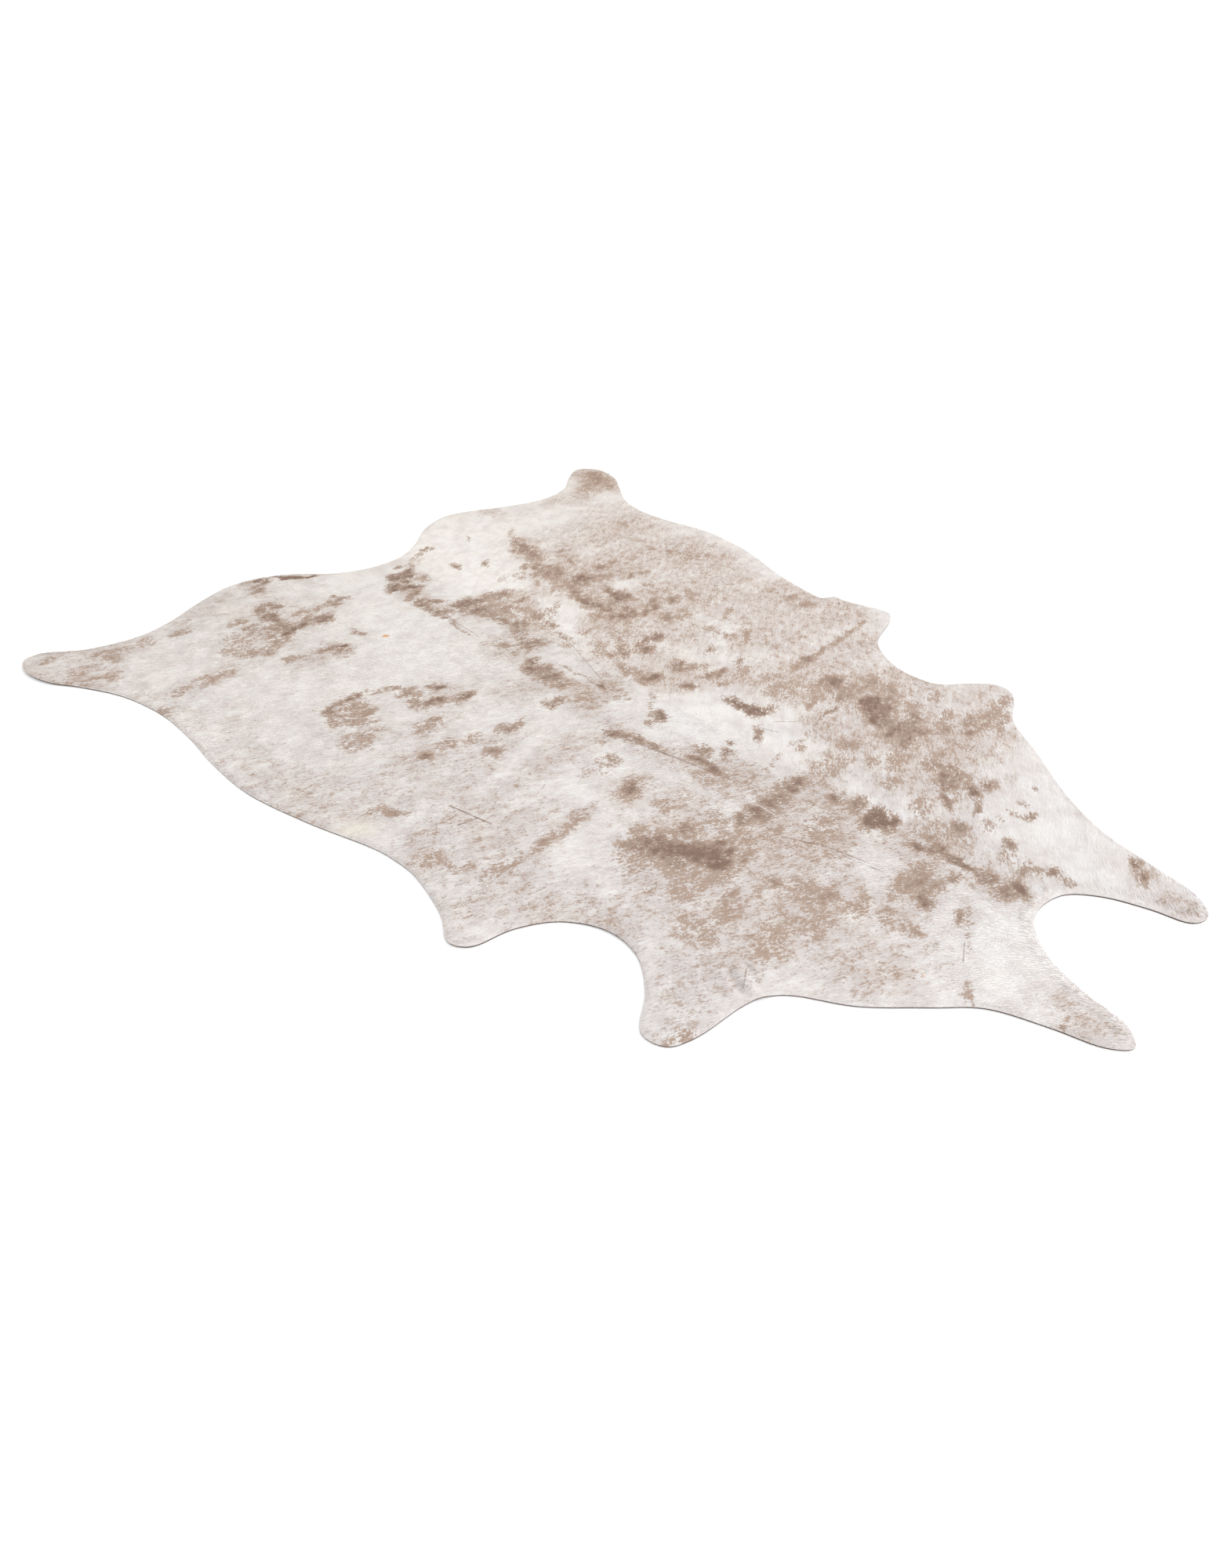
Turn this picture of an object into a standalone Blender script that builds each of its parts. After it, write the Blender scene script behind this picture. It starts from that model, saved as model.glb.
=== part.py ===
"""A whole cowhide rug, lying flat with its hair side up.

It is one tanned skin, cut along its own natural outline and left unbound. The spine runs
along Y, with the neck at -Y and the rump at +Y. The origin lies under the spine, midway
along it, on the face that rests on the floor. Lengths are in metres.
"""

import math
from collections import namedtuple

import bmesh
import bpy
import numpy as np
from mathutils.geometry import delaunay_2d_cdt

# Thickness of the skin with its short, flat-lying hair, and of the bare cut edge
THICK_SPINE = 0.0055
THICK_FLANK = 0.0042
THICK_EDGE = 0.0030
SPINE_HALF_WIDTH = 0.45

# Mesh steps: along the cut edge, over the open skin, and around the small folds
EDGE_STEPS = 4
OPEN_STEP = 0.048
FOLD_STEP = 0.012
EDGE_CLEARANCE = 0.55
FLAT_MARGIN = 0.03
FILL_ONLY_THE_RING = 1
SAME_POINT = 1e-6

# The rug's ground colour, roughness and metallic value
HAIR_COLOR = (0.72, 0.68, 0.65, 1.0)
HAIR_ROUGHNESS = 0.85
HAIR_METALLIC = 0.0
SHARP_EDGE = math.radians(40.0)

# The cut edge, from the neck round to the tail: one landmark a row, on both sides
Landmark = namedtuple("Landmark", "name left_across left_along right_across right_along")
OUTLINE = (
    Landmark("neck notch", -0.045, -0.906, 0.033, -0.919),
    Landmark("notch side", -0.101, -0.948, 0.076, -0.966),
    Landmark("cheek inside", -0.129, -1.010, 0.102, -1.029),
    Landmark("cheek inner corner", -0.142, -1.068, 0.118, -1.085),
    Landmark("cheek tip", -0.170, -1.088, 0.150, -1.099),
    Landmark("cheek outer corner", -0.197, -1.061, 0.184, -1.074),
    Landmark("cheek outside", -0.219, -0.996, 0.204, -1.009),
    Landmark("throat", -0.251, -0.921, 0.233, -0.915),
    Landmark("jaw", -0.304, -0.864, 0.287, -0.836),
    Landmark("neck side", -0.375, -0.788, 0.373, -0.750),
    Landmark("shoulder", -0.430, -0.706, 0.418, -0.700),
    Landmark("armpit", -0.471, -0.679, 0.447, -0.673),
    Landmark("foreleg front", -0.573, -0.657, 0.530, -0.640),
    Landmark("foreleg front corner", -0.608, -0.637, 0.552, -0.620),
    Landmark("foreleg end", -0.616, -0.600, 0.553, -0.591),
    Landmark("foreleg back", -0.564, -0.561, 0.518, -0.547),
    Landmark("cove front", -0.527, -0.510, 0.466, -0.497),
    Landmark("cove middle", -0.525, -0.450, 0.458, -0.440),
    Landmark("cove back", -0.563, -0.383, 0.473, -0.384),
    Landmark("elbow front", -0.625, -0.341, 0.533, -0.314),
    Landmark("elbow front corner", -0.691, -0.320, 0.654, -0.280),
    Landmark("elbow point", -0.709, -0.290, 0.685, -0.258),
    Landmark("elbow back", -0.686, -0.240, 0.672, -0.187),
    Landmark("girth", -0.667, -0.142, 0.656, -0.128),
    Landmark("girth fold", -0.670, -0.090, 0.634, -0.098),
    Landmark("girth back", -0.678, -0.046, 0.637, -0.060),
    Landmark("belly front", -0.727, 0.099, 0.668, 0.060),
    Landmark("belly", -0.766, 0.250, 0.731, 0.215),
    Landmark("belly middle", -0.774, 0.380, 0.760, 0.385),
    Landmark("belly back", -0.771, 0.500, 0.741, 0.535),
    Landmark("flank", -0.779, 0.620, 0.740, 0.640),
    Landmark("stifle", -0.811, 0.745, 0.768, 0.736),
    Landmark("thigh", -0.861, 0.845, 0.832, 0.826),
    Landmark("hock", -0.911, 0.925, 0.892, 0.905),
    Landmark("hind foot outer corner", -0.929, 1.005, 0.914, 0.980),
    Landmark("hind foot end", -0.913, 1.058, 0.898, 1.040),
    Landmark("hind foot inner corner", -0.878, 1.061, 0.862, 1.069),
    Landmark("hind leg inside", -0.801, 1.008, 0.789, 1.031),
    Landmark("buttock cove", -0.690, 0.981, 0.699, 0.964),
    Landmark("buttock cove end", -0.613, 0.998, 0.590, 0.944),
    Landmark("buttock", -0.523, 1.043, 0.450, 0.989),
    Landmark("rump", -0.428, 1.078, 0.343, 1.041),
    Landmark("rump crest", -0.349, 1.072, 0.270, 1.058),
    Landmark("tail side", -0.262, 1.025, 0.174, 1.023),
    Landmark("tail base", -0.179, 0.946, 0.084, 0.948),
    Landmark("tail notch", -0.080, 0.904, 0.009, 0.907),
)

# Round stretches of the edge that stand a little clear of the floor
Lift = namedtuple("Lift", "name across along reach height")
LIFTS = (
    Lift("left hind foot", -0.945, 0.965, 0.170, 0.0050),
    Lift("right hind foot", 0.935, 1.020, 0.120, 0.0025),
    Lift("left elbow point", -0.725, -0.300, 0.075, 0.0015),
    Lift("left cove", -0.545, -0.455, 0.085, 0.0015),
)

# Small folds that run inward from the cut edge and die out there
Fold = namedtuple("Fold", "name edge_across edge_along inner_across inner_along half_width height")
FOLDS = (
    Fold("elbow ripple", 0.672, -0.122, 0.575, -0.108, 0.028, 0.0075),
    Fold("armpit crease", -0.462, -0.690, -0.440, -0.625, 0.022, 0.0020),
)


def start_empty():
    """Remove whatever the scene holds."""
    for old in list(bpy.data.objects):
        bpy.data.objects.remove(old, do_unlink=True)


def landmark_ring():
    """Return the landmarks as one ring of points, counterclockwise seen from above."""
    right = [(mark.right_across, mark.right_along) for mark in OUTLINE]
    left = [(mark.left_across, mark.left_along) for mark in reversed(OUTLINE)]
    return np.array(right + left)


def rounded_ring(points, steps):
    """Return a closed centripetal curve through the points, with some steps per stretch."""
    ring = []
    count = len(points)
    for k in range(count):
        p0, p1, p2, p3 = (points[(k + shift) % count] for shift in (-1, 0, 1, 2))
        t1 = math.sqrt(np.linalg.norm(p1 - p0))
        t2 = t1 + math.sqrt(np.linalg.norm(p2 - p1))
        t3 = t2 + math.sqrt(np.linalg.norm(p3 - p2))
        for step in range(steps):
            t = t1 + (t2 - t1) * step / steps
            a1 = p0 + (p1 - p0) * t / t1
            a2 = p1 + (p2 - p1) * (t - t1) / (t2 - t1)
            a3 = p2 + (p3 - p2) * (t - t2) / (t3 - t2)
            b1 = a1 + (a2 - a1) * t / t2
            b2 = a2 + (a3 - a2) * (t - t1) / (t3 - t1)
            ring.append(b1 + (b2 - b1) * (t - t1) / (t2 - t1))
    return np.array(ring)


def depth_inside(points, ring):
    """Return how far each point lies inside the ring, negative for a point outside it."""
    nearest = np.full(len(points), np.inf)
    crossings = np.zeros(len(points), dtype=int)
    for start, end in zip(ring, np.roll(ring, -1, axis=0)):
        run = end - start
        offset = points - start
        along = np.clip(offset @ run / (run @ run), 0.0, 1.0)
        nearest = np.minimum(nearest, np.linalg.norm(offset - along[:, None] * run, axis=1))
        level = (points[:, 1] > start[1]) != (points[:, 1] > end[1])
        crossing = start[0] + run[0] * offset[:, 1] / (run[1] or 1.0)
        crossings += level & (points[:, 0] < crossing)
    return np.where(crossings % 2 == 1, nearest, -nearest)


def soft_bump(distance, reach):
    """Return 1 at no distance, falling smoothly to exactly 0 at the reach."""
    share = np.clip(1.0 - distance / reach, 0.0, 1.0)
    return share * share * (3.0 - 2.0 * share)


def lift_distance(points, lift):
    """Return each point's distance from the middle of a lifted stretch."""
    return np.hypot(points[:, 0] - lift.across, points[:, 1] - lift.along)


def fold_distance(points, fold):
    """Return each point's distance from a fold's line, and its share of the way inward."""
    start = np.array((fold.edge_across, fold.edge_along))
    run = np.array((fold.inner_across, fold.inner_along)) - start
    inward = np.clip((points - start) @ run / (run @ run), 0.0, 1.0)
    return np.linalg.norm(points - start - inward[:, None] * run, axis=1), inward


def floor_gap(points):
    """Return how high the underside stands above the floor: 0 over nearly all of the rug."""
    gap = np.zeros(len(points))
    for lift in LIFTS:
        gap += lift.height * soft_bump(lift_distance(points, lift), lift.reach)
    for fold in FOLDS:
        distance, inward = fold_distance(points, fold)
        gap += fold.height * soft_bump(distance, fold.half_width) * soft_bump(inward, 1.0)
    return gap


def thickness(points):
    """Return the thickness inside the edge, which is greatest along the spine."""
    spine = np.exp(-((points[:, 0] / SPINE_HALF_WIDTH) ** 2))
    return THICK_FLANK + (THICK_SPINE - THICK_FLANK) * spine


def on_fold(points):
    """Return which points lie on a small fold or just beside it."""
    near = np.zeros(len(points), dtype=bool)
    for fold in FOLDS:
        near |= fold_distance(points, fold)[0] < fold.half_width + FOLD_STEP
    return near


def off_floor(points):
    """Return which points lie where the underside leaves the floor, or just beside that."""
    near = on_fold(points)
    for lift in LIFTS:
        near |= lift_distance(points, lift) < lift.reach + FLAT_MARGIN
    return near


def staggered_points(ring, step):
    """Return staggered rows of points inside the ring, clear of its edge."""
    low = ring.min(axis=0)
    high = ring.max(axis=0)
    row_step = step * math.sqrt(0.75)
    rows = []
    for row in range(int((high[1] - low[1]) / row_step) + 1):
        across = np.arange(low[0] + 0.5 * step * (row % 2), high[0], step)
        along = np.full(len(across), low[1] + row * row_step)
        rows.append(np.column_stack((across, along)))
    points = np.concatenate(rows)
    return points[depth_inside(points, ring) > step * EDGE_CLEARANCE]


def triangulate(ring, inner):
    """Return the ring's points and the inner ones, and the triangles that fill the ring."""
    points = np.concatenate((ring, inner))
    loop = list(range(len(ring)))
    coordinates = [tuple(point) for point in points]
    filled = delaunay_2d_cdt(coordinates, [], [loop], FILL_ONLY_THE_RING, SAME_POINT)
    faces = filled[2]
    given = [sources[0] for sources in filled[3]]
    return points, [[given[corner] for corner in face] for face in faces]


def hide_mesh():
    """Return the skin as one closed shell: hair side, underside and cut edge."""
    ring = rounded_ring(landmark_ring(), EDGE_STEPS)
    open_points = staggered_points(ring, OPEN_STEP)
    fold_points = staggered_points(ring, FOLD_STEP)
    inner = np.concatenate((open_points[~on_fold(open_points)], fold_points[on_fold(fold_points)]))

    top, top_faces = triangulate(ring, inner)
    under, under_faces = triangulate(ring, inner[off_floor(inner)])
    top_height = floor_gap(top) + thickness(top)
    top_height[: len(ring)] = floor_gap(ring) + THICK_EDGE

    shell = bmesh.new()
    upper = [shell.verts.new((x, y, z)) for (x, y), z in zip(top, top_height)]
    lower = [shell.verts.new((x, y, z)) for (x, y), z in zip(under, floor_gap(under))]
    for face in top_faces:
        shell.faces.new([upper[k] for k in face])
    for face in under_faces:
        shell.faces.new([lower[k] for k in reversed(face)])
    for k in range(len(ring)):
        after = (k + 1) % len(ring)
        shell.faces.new((lower[k], lower[after], upper[after], upper[k]))

    mesh = bpy.data.meshes.new("hide")
    shell.to_mesh(mesh)
    shell.free()
    mesh.shade_smooth()
    mesh.set_sharp_from_angle(angle=SHARP_EDGE)
    return mesh


def hair_material():
    """Return the soft off-white of the rug's hair."""
    material = bpy.data.materials.new("hair")
    material.use_nodes = True
    shader = material.node_tree.nodes["Principled BSDF"]
    shader.inputs["Base Color"].default_value = HAIR_COLOR
    shader.inputs["Roughness"].default_value = HAIR_ROUGHNESS
    shader.inputs["Metallic"].default_value = HAIR_METALLIC
    return material


start_empty()
hide = bpy.data.objects.new("hide", hide_mesh())
hide.data.materials.append(hair_material())
bpy.context.collection.objects.link(hide)
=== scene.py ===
"""A whole cowhide rug, hair side up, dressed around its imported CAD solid.

The spine runs along Y, with the neck at -Y and the rump at +Y. Lengths are in metres.
"""

import math
from collections import namedtuple

import bmesh
import bpy
import numpy as np
from mathutils.geometry import delaunay_2d_cdt
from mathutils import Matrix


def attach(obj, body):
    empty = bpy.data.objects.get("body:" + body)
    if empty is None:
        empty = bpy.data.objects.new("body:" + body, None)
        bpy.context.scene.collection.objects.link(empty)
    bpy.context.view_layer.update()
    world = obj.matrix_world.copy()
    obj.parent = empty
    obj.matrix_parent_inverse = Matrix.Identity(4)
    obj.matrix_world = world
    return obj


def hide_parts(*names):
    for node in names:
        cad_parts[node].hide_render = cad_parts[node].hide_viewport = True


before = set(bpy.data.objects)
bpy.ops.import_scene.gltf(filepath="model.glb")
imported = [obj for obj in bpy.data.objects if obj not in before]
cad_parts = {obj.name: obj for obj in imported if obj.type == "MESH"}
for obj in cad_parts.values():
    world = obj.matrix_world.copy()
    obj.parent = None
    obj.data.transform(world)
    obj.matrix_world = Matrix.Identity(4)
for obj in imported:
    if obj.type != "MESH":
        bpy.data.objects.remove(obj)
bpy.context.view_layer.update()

# The camera stands at the left foreleg, 0.93 m up, and looks across the rug to the right
# thigh. Its long side takes in the whole rug with a lot of bare floor around it.
CAMERA_PLACE = (-1.02959, -0.94492, 0.92599)
CAMERA_TILT_DOWN = math.radians(41.365)
CAMERA_TURN = math.radians(-45.69)
CAMERA_LENS_MM = 17.1
CAMERA_SENSOR_MM = 36.0

camera = bpy.data.objects.new("camera", bpy.data.cameras.new("camera"))
camera.data.lens = CAMERA_LENS_MM
camera.data.sensor_width = CAMERA_SENSOR_MM
camera.data.sensor_fit = "AUTO"
camera.data.clip_start = 0.01
camera.data.clip_end = 500.0
camera.location = CAMERA_PLACE
camera.rotation_euler = (math.radians(90.0) - CAMERA_TILT_DOWN, 0.0, CAMERA_TURN)
bpy.context.scene.collection.objects.link(camera)
bpy.context.scene.camera = camera

# The studio is a white cove: light comes evenly from all round, and one large soft panel
# stands high on the camera's right. The picture is shown without a film curve.
COVE_LIGHT = 1.3
PANEL_PLACE = (5.2, -6.0, 4.2)
PANEL_SIDE = 4.5
PANEL_WATTS = 170.0

bpy.context.scene.view_settings.view_transform = "Standard"
cove = bpy.data.worlds.new("white cove")
cove.use_nodes = True
cove.node_tree.nodes["Background"].inputs["Color"].default_value = (1.0, 1.0, 1.0, 1.0)
cove.node_tree.nodes["Background"].inputs["Strength"].default_value = COVE_LIGHT
bpy.context.scene.world = cove

panel_light = bpy.data.lights.new("soft panel", "AREA")
panel_light.shape = "SQUARE"
panel_light.size = PANEL_SIDE
panel_light.energy = PANEL_WATTS
panel = bpy.data.objects.new("soft panel", panel_light)
panel.location = PANEL_PLACE
aim = -panel.location
panel.rotation_euler = aim.to_track_quat("-Z", "Y").to_euler()
bpy.context.scene.collection.objects.link(panel)

# The floor is a plain pale sheet that runs on past the horizon. It is not part of the rug.
FLOOR_HALF = 120.0
FLOOR_DROP = 0.0004
FLOOR_COLOUR = (0.93, 0.93, 0.93, 1.0)
FLOOR_ROUGHNESS = 0.9
MATT_SHINE = 0.2


def plain_material(name, colour, roughness):
    """Return a material of one plain colour."""
    material = bpy.data.materials.new(name)
    material.use_nodes = True
    shader = material.node_tree.nodes["Principled BSDF"]
    shader.inputs["Base Color"].default_value = colour
    shader.inputs["Roughness"].default_value = roughness
    shader.inputs["Specular IOR Level"].default_value = MATT_SHINE
    return material


floor_mesh = bpy.data.meshes.new("floor")
floor_corners = [(-1, -1), (1, -1), (1, 1), (-1, 1)]
floor_points = [(x * FLOOR_HALF, y * FLOOR_HALF, -FLOOR_DROP) for x, y in floor_corners]
floor_mesh.from_pydata(floor_points, [], [(0, 1, 2, 3)])
floor_mesh.materials.append(plain_material("floor", FLOOR_COLOUR, FLOOR_ROUGHNESS))
floor = bpy.data.objects.new("floor", floor_mesh)
bpy.context.scene.collection.objects.link(floor)

# The skin is tanned cowhide a little over 2 mm thick, cut with a knife along the animal's
# own outline. It lies on the floor with its buffed flesh side down, and its bare cut edge
# shows as a thin dark line below the hair.
SKIN_THICK = 0.0021
SKIN_STEP = 0.026
SHARP_CORNER = math.radians(40.0)
EDGE_CLEARANCE = 0.55
RING_STEPS = 4
WALL_SLOPE = 0.5
SAME_POINT = 1e-6
FILL_ONLY_THE_RING = 1

Lift = namedtuple("Lift", "name across along reach height")
LIFTS = (
    Lift("left hind foot", -0.945, 0.965, 0.170, 0.0050),
    Lift("right hind foot", 0.935, 1.020, 0.120, 0.0025),
    Lift("left elbow point", -0.725, -0.300, 0.075, 0.0015),
    Lift("left cove", -0.545, -0.455, 0.085, 0.0015),
)

Fold = namedtuple("Fold", "name edge_across edge_along inner_across inner_along half_width height")
FOLDS = (
    Fold("elbow ripple", 0.672, -0.122, 0.575, -0.108, 0.028, 0.0075),
    Fold("armpit crease", -0.462, -0.690, -0.440, -0.625, 0.022, 0.0020),
)


def cad_ring(cad_hide):
    """Return the CAD solid's cut edge as a ring of points, counterclockwise from above."""
    shell = bmesh.new()
    shell.from_mesh(cad_hide.data)
    bmesh.ops.remove_doubles(shell, verts=shell.verts, dist=SAME_POINT)
    shell.normal_update()
    after = {}
    for edge in shell.edges:
        slopes = [abs(face.normal.z) for face in edge.link_faces]
        if min(slopes) > WALL_SLOPE:
            continue
        for loop in edge.link_loops:
            if loop.face.normal.z < -WALL_SLOPE:
                after[loop.link_loop_next.vert] = loop.vert
    start = next(iter(after))
    ring = [start]
    while after[ring[-1]] is not start:
        ring.append(after[ring[-1]])
    points = np.array([vertex.co[:2] for vertex in ring])
    shell.free()
    return points


def rounded_ring(points, steps):
    """Return a closed centripetal curve through the points, with some steps per stretch."""
    p0, p1, p2, p3 = (np.roll(points, -shift, axis=0) for shift in (-1, 0, 1, 2))
    t1, t2, t3 = (
        np.sqrt(np.linalg.norm(b - a, axis=1))[:, None] for a, b in ((p0, p1), (p1, p2), (p2, p3))
    )
    t2 = t1 + t2
    t3 = t2 + t3
    stretches = []
    for step in range(steps):
        t = t1 + (t2 - t1) * step / steps
        a1 = p0 + (p1 - p0) * t / t1
        a2 = p1 + (p2 - p1) * (t - t1) / (t2 - t1)
        a3 = p2 + (p3 - p2) * (t - t2) / (t3 - t2)
        b1 = a1 + (a2 - a1) * t / t2
        b2 = a2 + (a3 - a2) * (t - t1) / (t3 - t1)
        stretches.append(b1 + (b2 - b1) * (t - t1) / (t2 - t1))
    return np.stack(stretches, axis=1).reshape(-1, 2)


NOISE_CELLS = 256


def soft_noise(points, size, seed):
    """Return smooth noise from -1 to 1 that changes over the given size."""
    corners = (NOISE_CELLS + 1, NOISE_CELLS + 1)
    lattice = np.random.default_rng(seed).uniform(-1.0, 1.0, corners)
    place = points / size + NOISE_CELLS / 2
    cell = np.floor(place).astype(int)
    share = place - cell
    share = share * share * (3.0 - 2.0 * share)
    column, row = (cell % NOISE_CELLS).T
    low = lattice[column, row] * (1 - share[:, 0]) + lattice[column + 1, row] * share[:, 0]
    high = lattice[column, row + 1] * (1 - share[:, 0]) + lattice[column + 1, row + 1] * share[:, 0]
    return low * (1 - share[:, 1]) + high * share[:, 1]


def depth_inside(points, ring):
    """Return how far each point lies inside the ring, negative for a point outside it."""
    nearest = np.full(len(points), np.inf)
    crossings = np.zeros(len(points), dtype=int)
    for start, end in zip(ring, np.roll(ring, -1, axis=0)):
        run = end - start
        offset = points - start
        along = np.clip(offset @ run / (run @ run), 0.0, 1.0)
        gap = offset - along[:, None] * run
        nearest = np.minimum(nearest, gap[:, 0] ** 2 + gap[:, 1] ** 2)
        level = (points[:, 1] > start[1]) != (points[:, 1] > end[1])
        crossing = start[0] + run[0] * offset[:, 1] / (run[1] or 1.0)
        crossings += level & (points[:, 0] < crossing)
    return np.where(crossings % 2 == 1, np.sqrt(nearest), -np.sqrt(nearest))


def staggered_points(ring, step):
    """Return staggered rows of points inside the ring, and how far inside it they lie."""
    low = ring.min(axis=0)
    high = ring.max(axis=0)
    row_step = step * math.sqrt(0.75)
    rows = []
    for row in range(int((high[1] - low[1]) / row_step) + 1):
        across = np.arange(low[0] + 0.5 * step * (row % 2), high[0], step)
        along = np.full(len(across), low[1] + row * row_step)
        rows.append(np.column_stack((across, along)))
    points = np.concatenate(rows)
    depth = depth_inside(points, ring)
    kept = depth > step * EDGE_CLEARANCE
    return points[kept], depth[kept]


def soft_bump(distance, reach):
    """Return 1 at no distance, falling smoothly to exactly 0 at the reach."""
    share = np.clip(1.0 - distance / reach, 0.0, 1.0)
    return share * share * (3.0 - 2.0 * share)


def floor_gap(points):
    """Return how high the underside stands above the floor: 0 over nearly all of the rug."""
    gap = np.zeros(len(points))
    for lift in LIFTS:
        distance = np.hypot(points[:, 0] - lift.across, points[:, 1] - lift.along)
        gap += lift.height * soft_bump(distance, lift.reach)
    for fold in FOLDS:
        start = np.array((fold.edge_across, fold.edge_along))
        run = np.array((fold.inner_across, fold.inner_along)) - start
        inward = np.clip((points - start) @ run / (run @ run), 0.0, 1.0)
        distance = np.linalg.norm(points - start - inward[:, None] * run, axis=1)
        gap += fold.height * soft_bump(distance, fold.half_width) * soft_bump(inward, 1.0)
    return gap


def triangulate(ring, inner):
    """Return the ring's points and the inner ones, and the triangles that fill the ring."""
    points = np.concatenate((ring, inner))
    loop = list(range(len(ring)))
    coordinates = [tuple(point) for point in points]
    filled = delaunay_2d_cdt(coordinates, [], [loop], FILL_ONLY_THE_RING, SAME_POINT)
    given = np.array([sources[0] for sources in filled[3]])
    return points, given[np.array(filled[2])]


def closed_sheet(name, ring, upper_inner, lower_inner, upper_height, lower_height):
    """Return a closed sheet between two heights, with its upper face's points first."""
    upper, upper_faces = triangulate(ring, upper_inner)
    lower, lower_faces = triangulate(ring, lower_inner)
    vertices = np.concatenate(
        (np.column_stack((upper, upper_height(upper))), np.column_stack((lower, lower_height(lower))))
    )
    here = np.arange(len(ring))
    after = np.roll(here, -1)
    below = here + len(upper)
    below_after = after + len(upper)
    walls = np.concatenate(
        (np.column_stack((below, below_after, after)), np.column_stack((below, after, here)))
    )
    faces = np.concatenate((upper_faces, lower_faces[:, ::-1] + len(upper), walls))
    mesh = bpy.data.meshes.new(name)
    mesh.from_pydata(vertices.tolist(), [], faces.tolist())
    mesh.shade_smooth()
    return mesh, upper, len(upper_faces), len(lower_faces)


cut_line = rounded_ring(cad_ring(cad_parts["hide"]), RING_STEPS)
skin_inner, _ = staggered_points(cut_line, SKIN_STEP)
skin_mesh, _, _, _ = closed_sheet(
    "skin",
    cut_line,
    skin_inner,
    skin_inner,
    lambda points: floor_gap(points) + SKIN_THICK,
    floor_gap,
)
skin_mesh.set_sharp_from_angle(angle=SHARP_CORNER)
skin = bpy.data.objects.new("skin", skin_mesh)
bpy.context.scene.collection.objects.link(skin)


def new_node(tree, kind, settings=None, **inputs):
    """Return a new node with its settings and with its inputs set or linked."""
    node = tree.nodes.new(kind)
    for name, value in (settings or {}).items():
        setattr(node, name, value)
    for name, value in inputs.items():
        socket = node.inputs[int(name[1:])] if name[0] == "_" else node.inputs[name.replace("_", " ")]
        if isinstance(value, bpy.types.NodeSocket):
            tree.links.new(value, socket)
        else:
            socket.default_value = value
    return node


# How much brighter a level matt surface looks in this studio than its own colour
STUDIO_GAIN = 1.2


def shade(red, green, blue):
    """Return the surface colour that looks like this one, from 0 to 255, in the studio."""
    light = [((part / 255.0 + 0.055) / 1.055) ** 2.4 for part in (red, green, blue)]
    return (*(part / STUDIO_GAIN for part in light), 1.0)


def math_node(tree, operation, first, second=0.0, third=0.0, clamp=False):
    """Return the socket of one sum."""
    settings = {"operation": operation, "use_clamp": clamp}
    return new_node(tree, "ShaderNodeMath", settings, _0=first, _1=second, _2=third).outputs[0]


def vector_node(tree, operation, **inputs):
    """Return the node of one sum with vectors."""
    return new_node(tree, "ShaderNodeVectorMath", {"operation": operation}, **inputs)


def grain_group():
    """Return the group for uneven grain: fractal noise around 0, with its own strength."""
    group = bpy.data.node_groups.new("uneven grain", "ShaderNodeTree")
    face = group.interface
    for name in ("Place", "Grains per metre"):
        face.new_socket(name=name, in_out="INPUT", socket_type="NodeSocketVector")
    for name in ("Detail", "Roughness", "Strength"):
        face.new_socket(name=name, in_out="INPUT", socket_type="NodeSocketFloat")
    face.new_socket(name="Grain", in_out="OUTPUT", socket_type="NodeSocketFloat")
    given = group.nodes.new("NodeGroupInput").outputs
    scaled = vector_node(group, "MULTIPLY", _0=given["Place"], _1=given["Grains per metre"])
    noise = new_node(
        group,
        "ShaderNodeTexNoise",
        Vector=scaled.outputs[0],
        Scale=1.0,
        Detail=given["Detail"],
        Roughness=given["Roughness"],
    )
    centred = math_node(group, "SUBTRACT", noise.outputs["Fac"], 0.5)
    signed = math_node(group, "MULTIPLY", centred, given["Strength"])
    made = group.nodes.new("NodeGroupOutput")
    group.links.new(signed, made.inputs["Grain"])
    return group


uneven_grain = grain_group()


def grain(tree, place, grains, detail, roughness, strength):
    """Return the uneven grain's socket; a strength near 13 runs from about -2 to 2."""
    node = tree.nodes.new("ShaderNodeGroup")
    node.node_tree = uneven_grain
    tree.links.new(place, node.inputs["Place"])
    node.inputs["Grains per metre"].default_value = grains
    node.inputs["Detail"].default_value = detail
    node.inputs["Roughness"].default_value = roughness
    node.inputs["Strength"].default_value = strength
    return node.outputs["Grain"]


def mixed(tree, share, low, high):
    """Return the colour socket between two colours, by a share from 0 to 1."""
    node = tree.nodes.new("ShaderNodeMix")
    node.data_type = "RGBA"
    for value, socket in ((share, node.inputs[0]), (low, node.inputs[6]), (high, node.inputs[7])):
        if isinstance(value, bpy.types.NodeSocket):
            tree.links.new(value, socket)
        else:
            socket.default_value = value
    return node.outputs[2]


SUEDE_ROUGHNESS = 0.92
SUEDE_LIGHT = shade(128, 114, 104)
SUEDE_DARK = shade(100, 87, 79)
SUEDE_HOLLOW = shade(82, 70, 64)
NAP_HEIGHT = 0.0004
NAP_BUMP = 0.35


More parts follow.
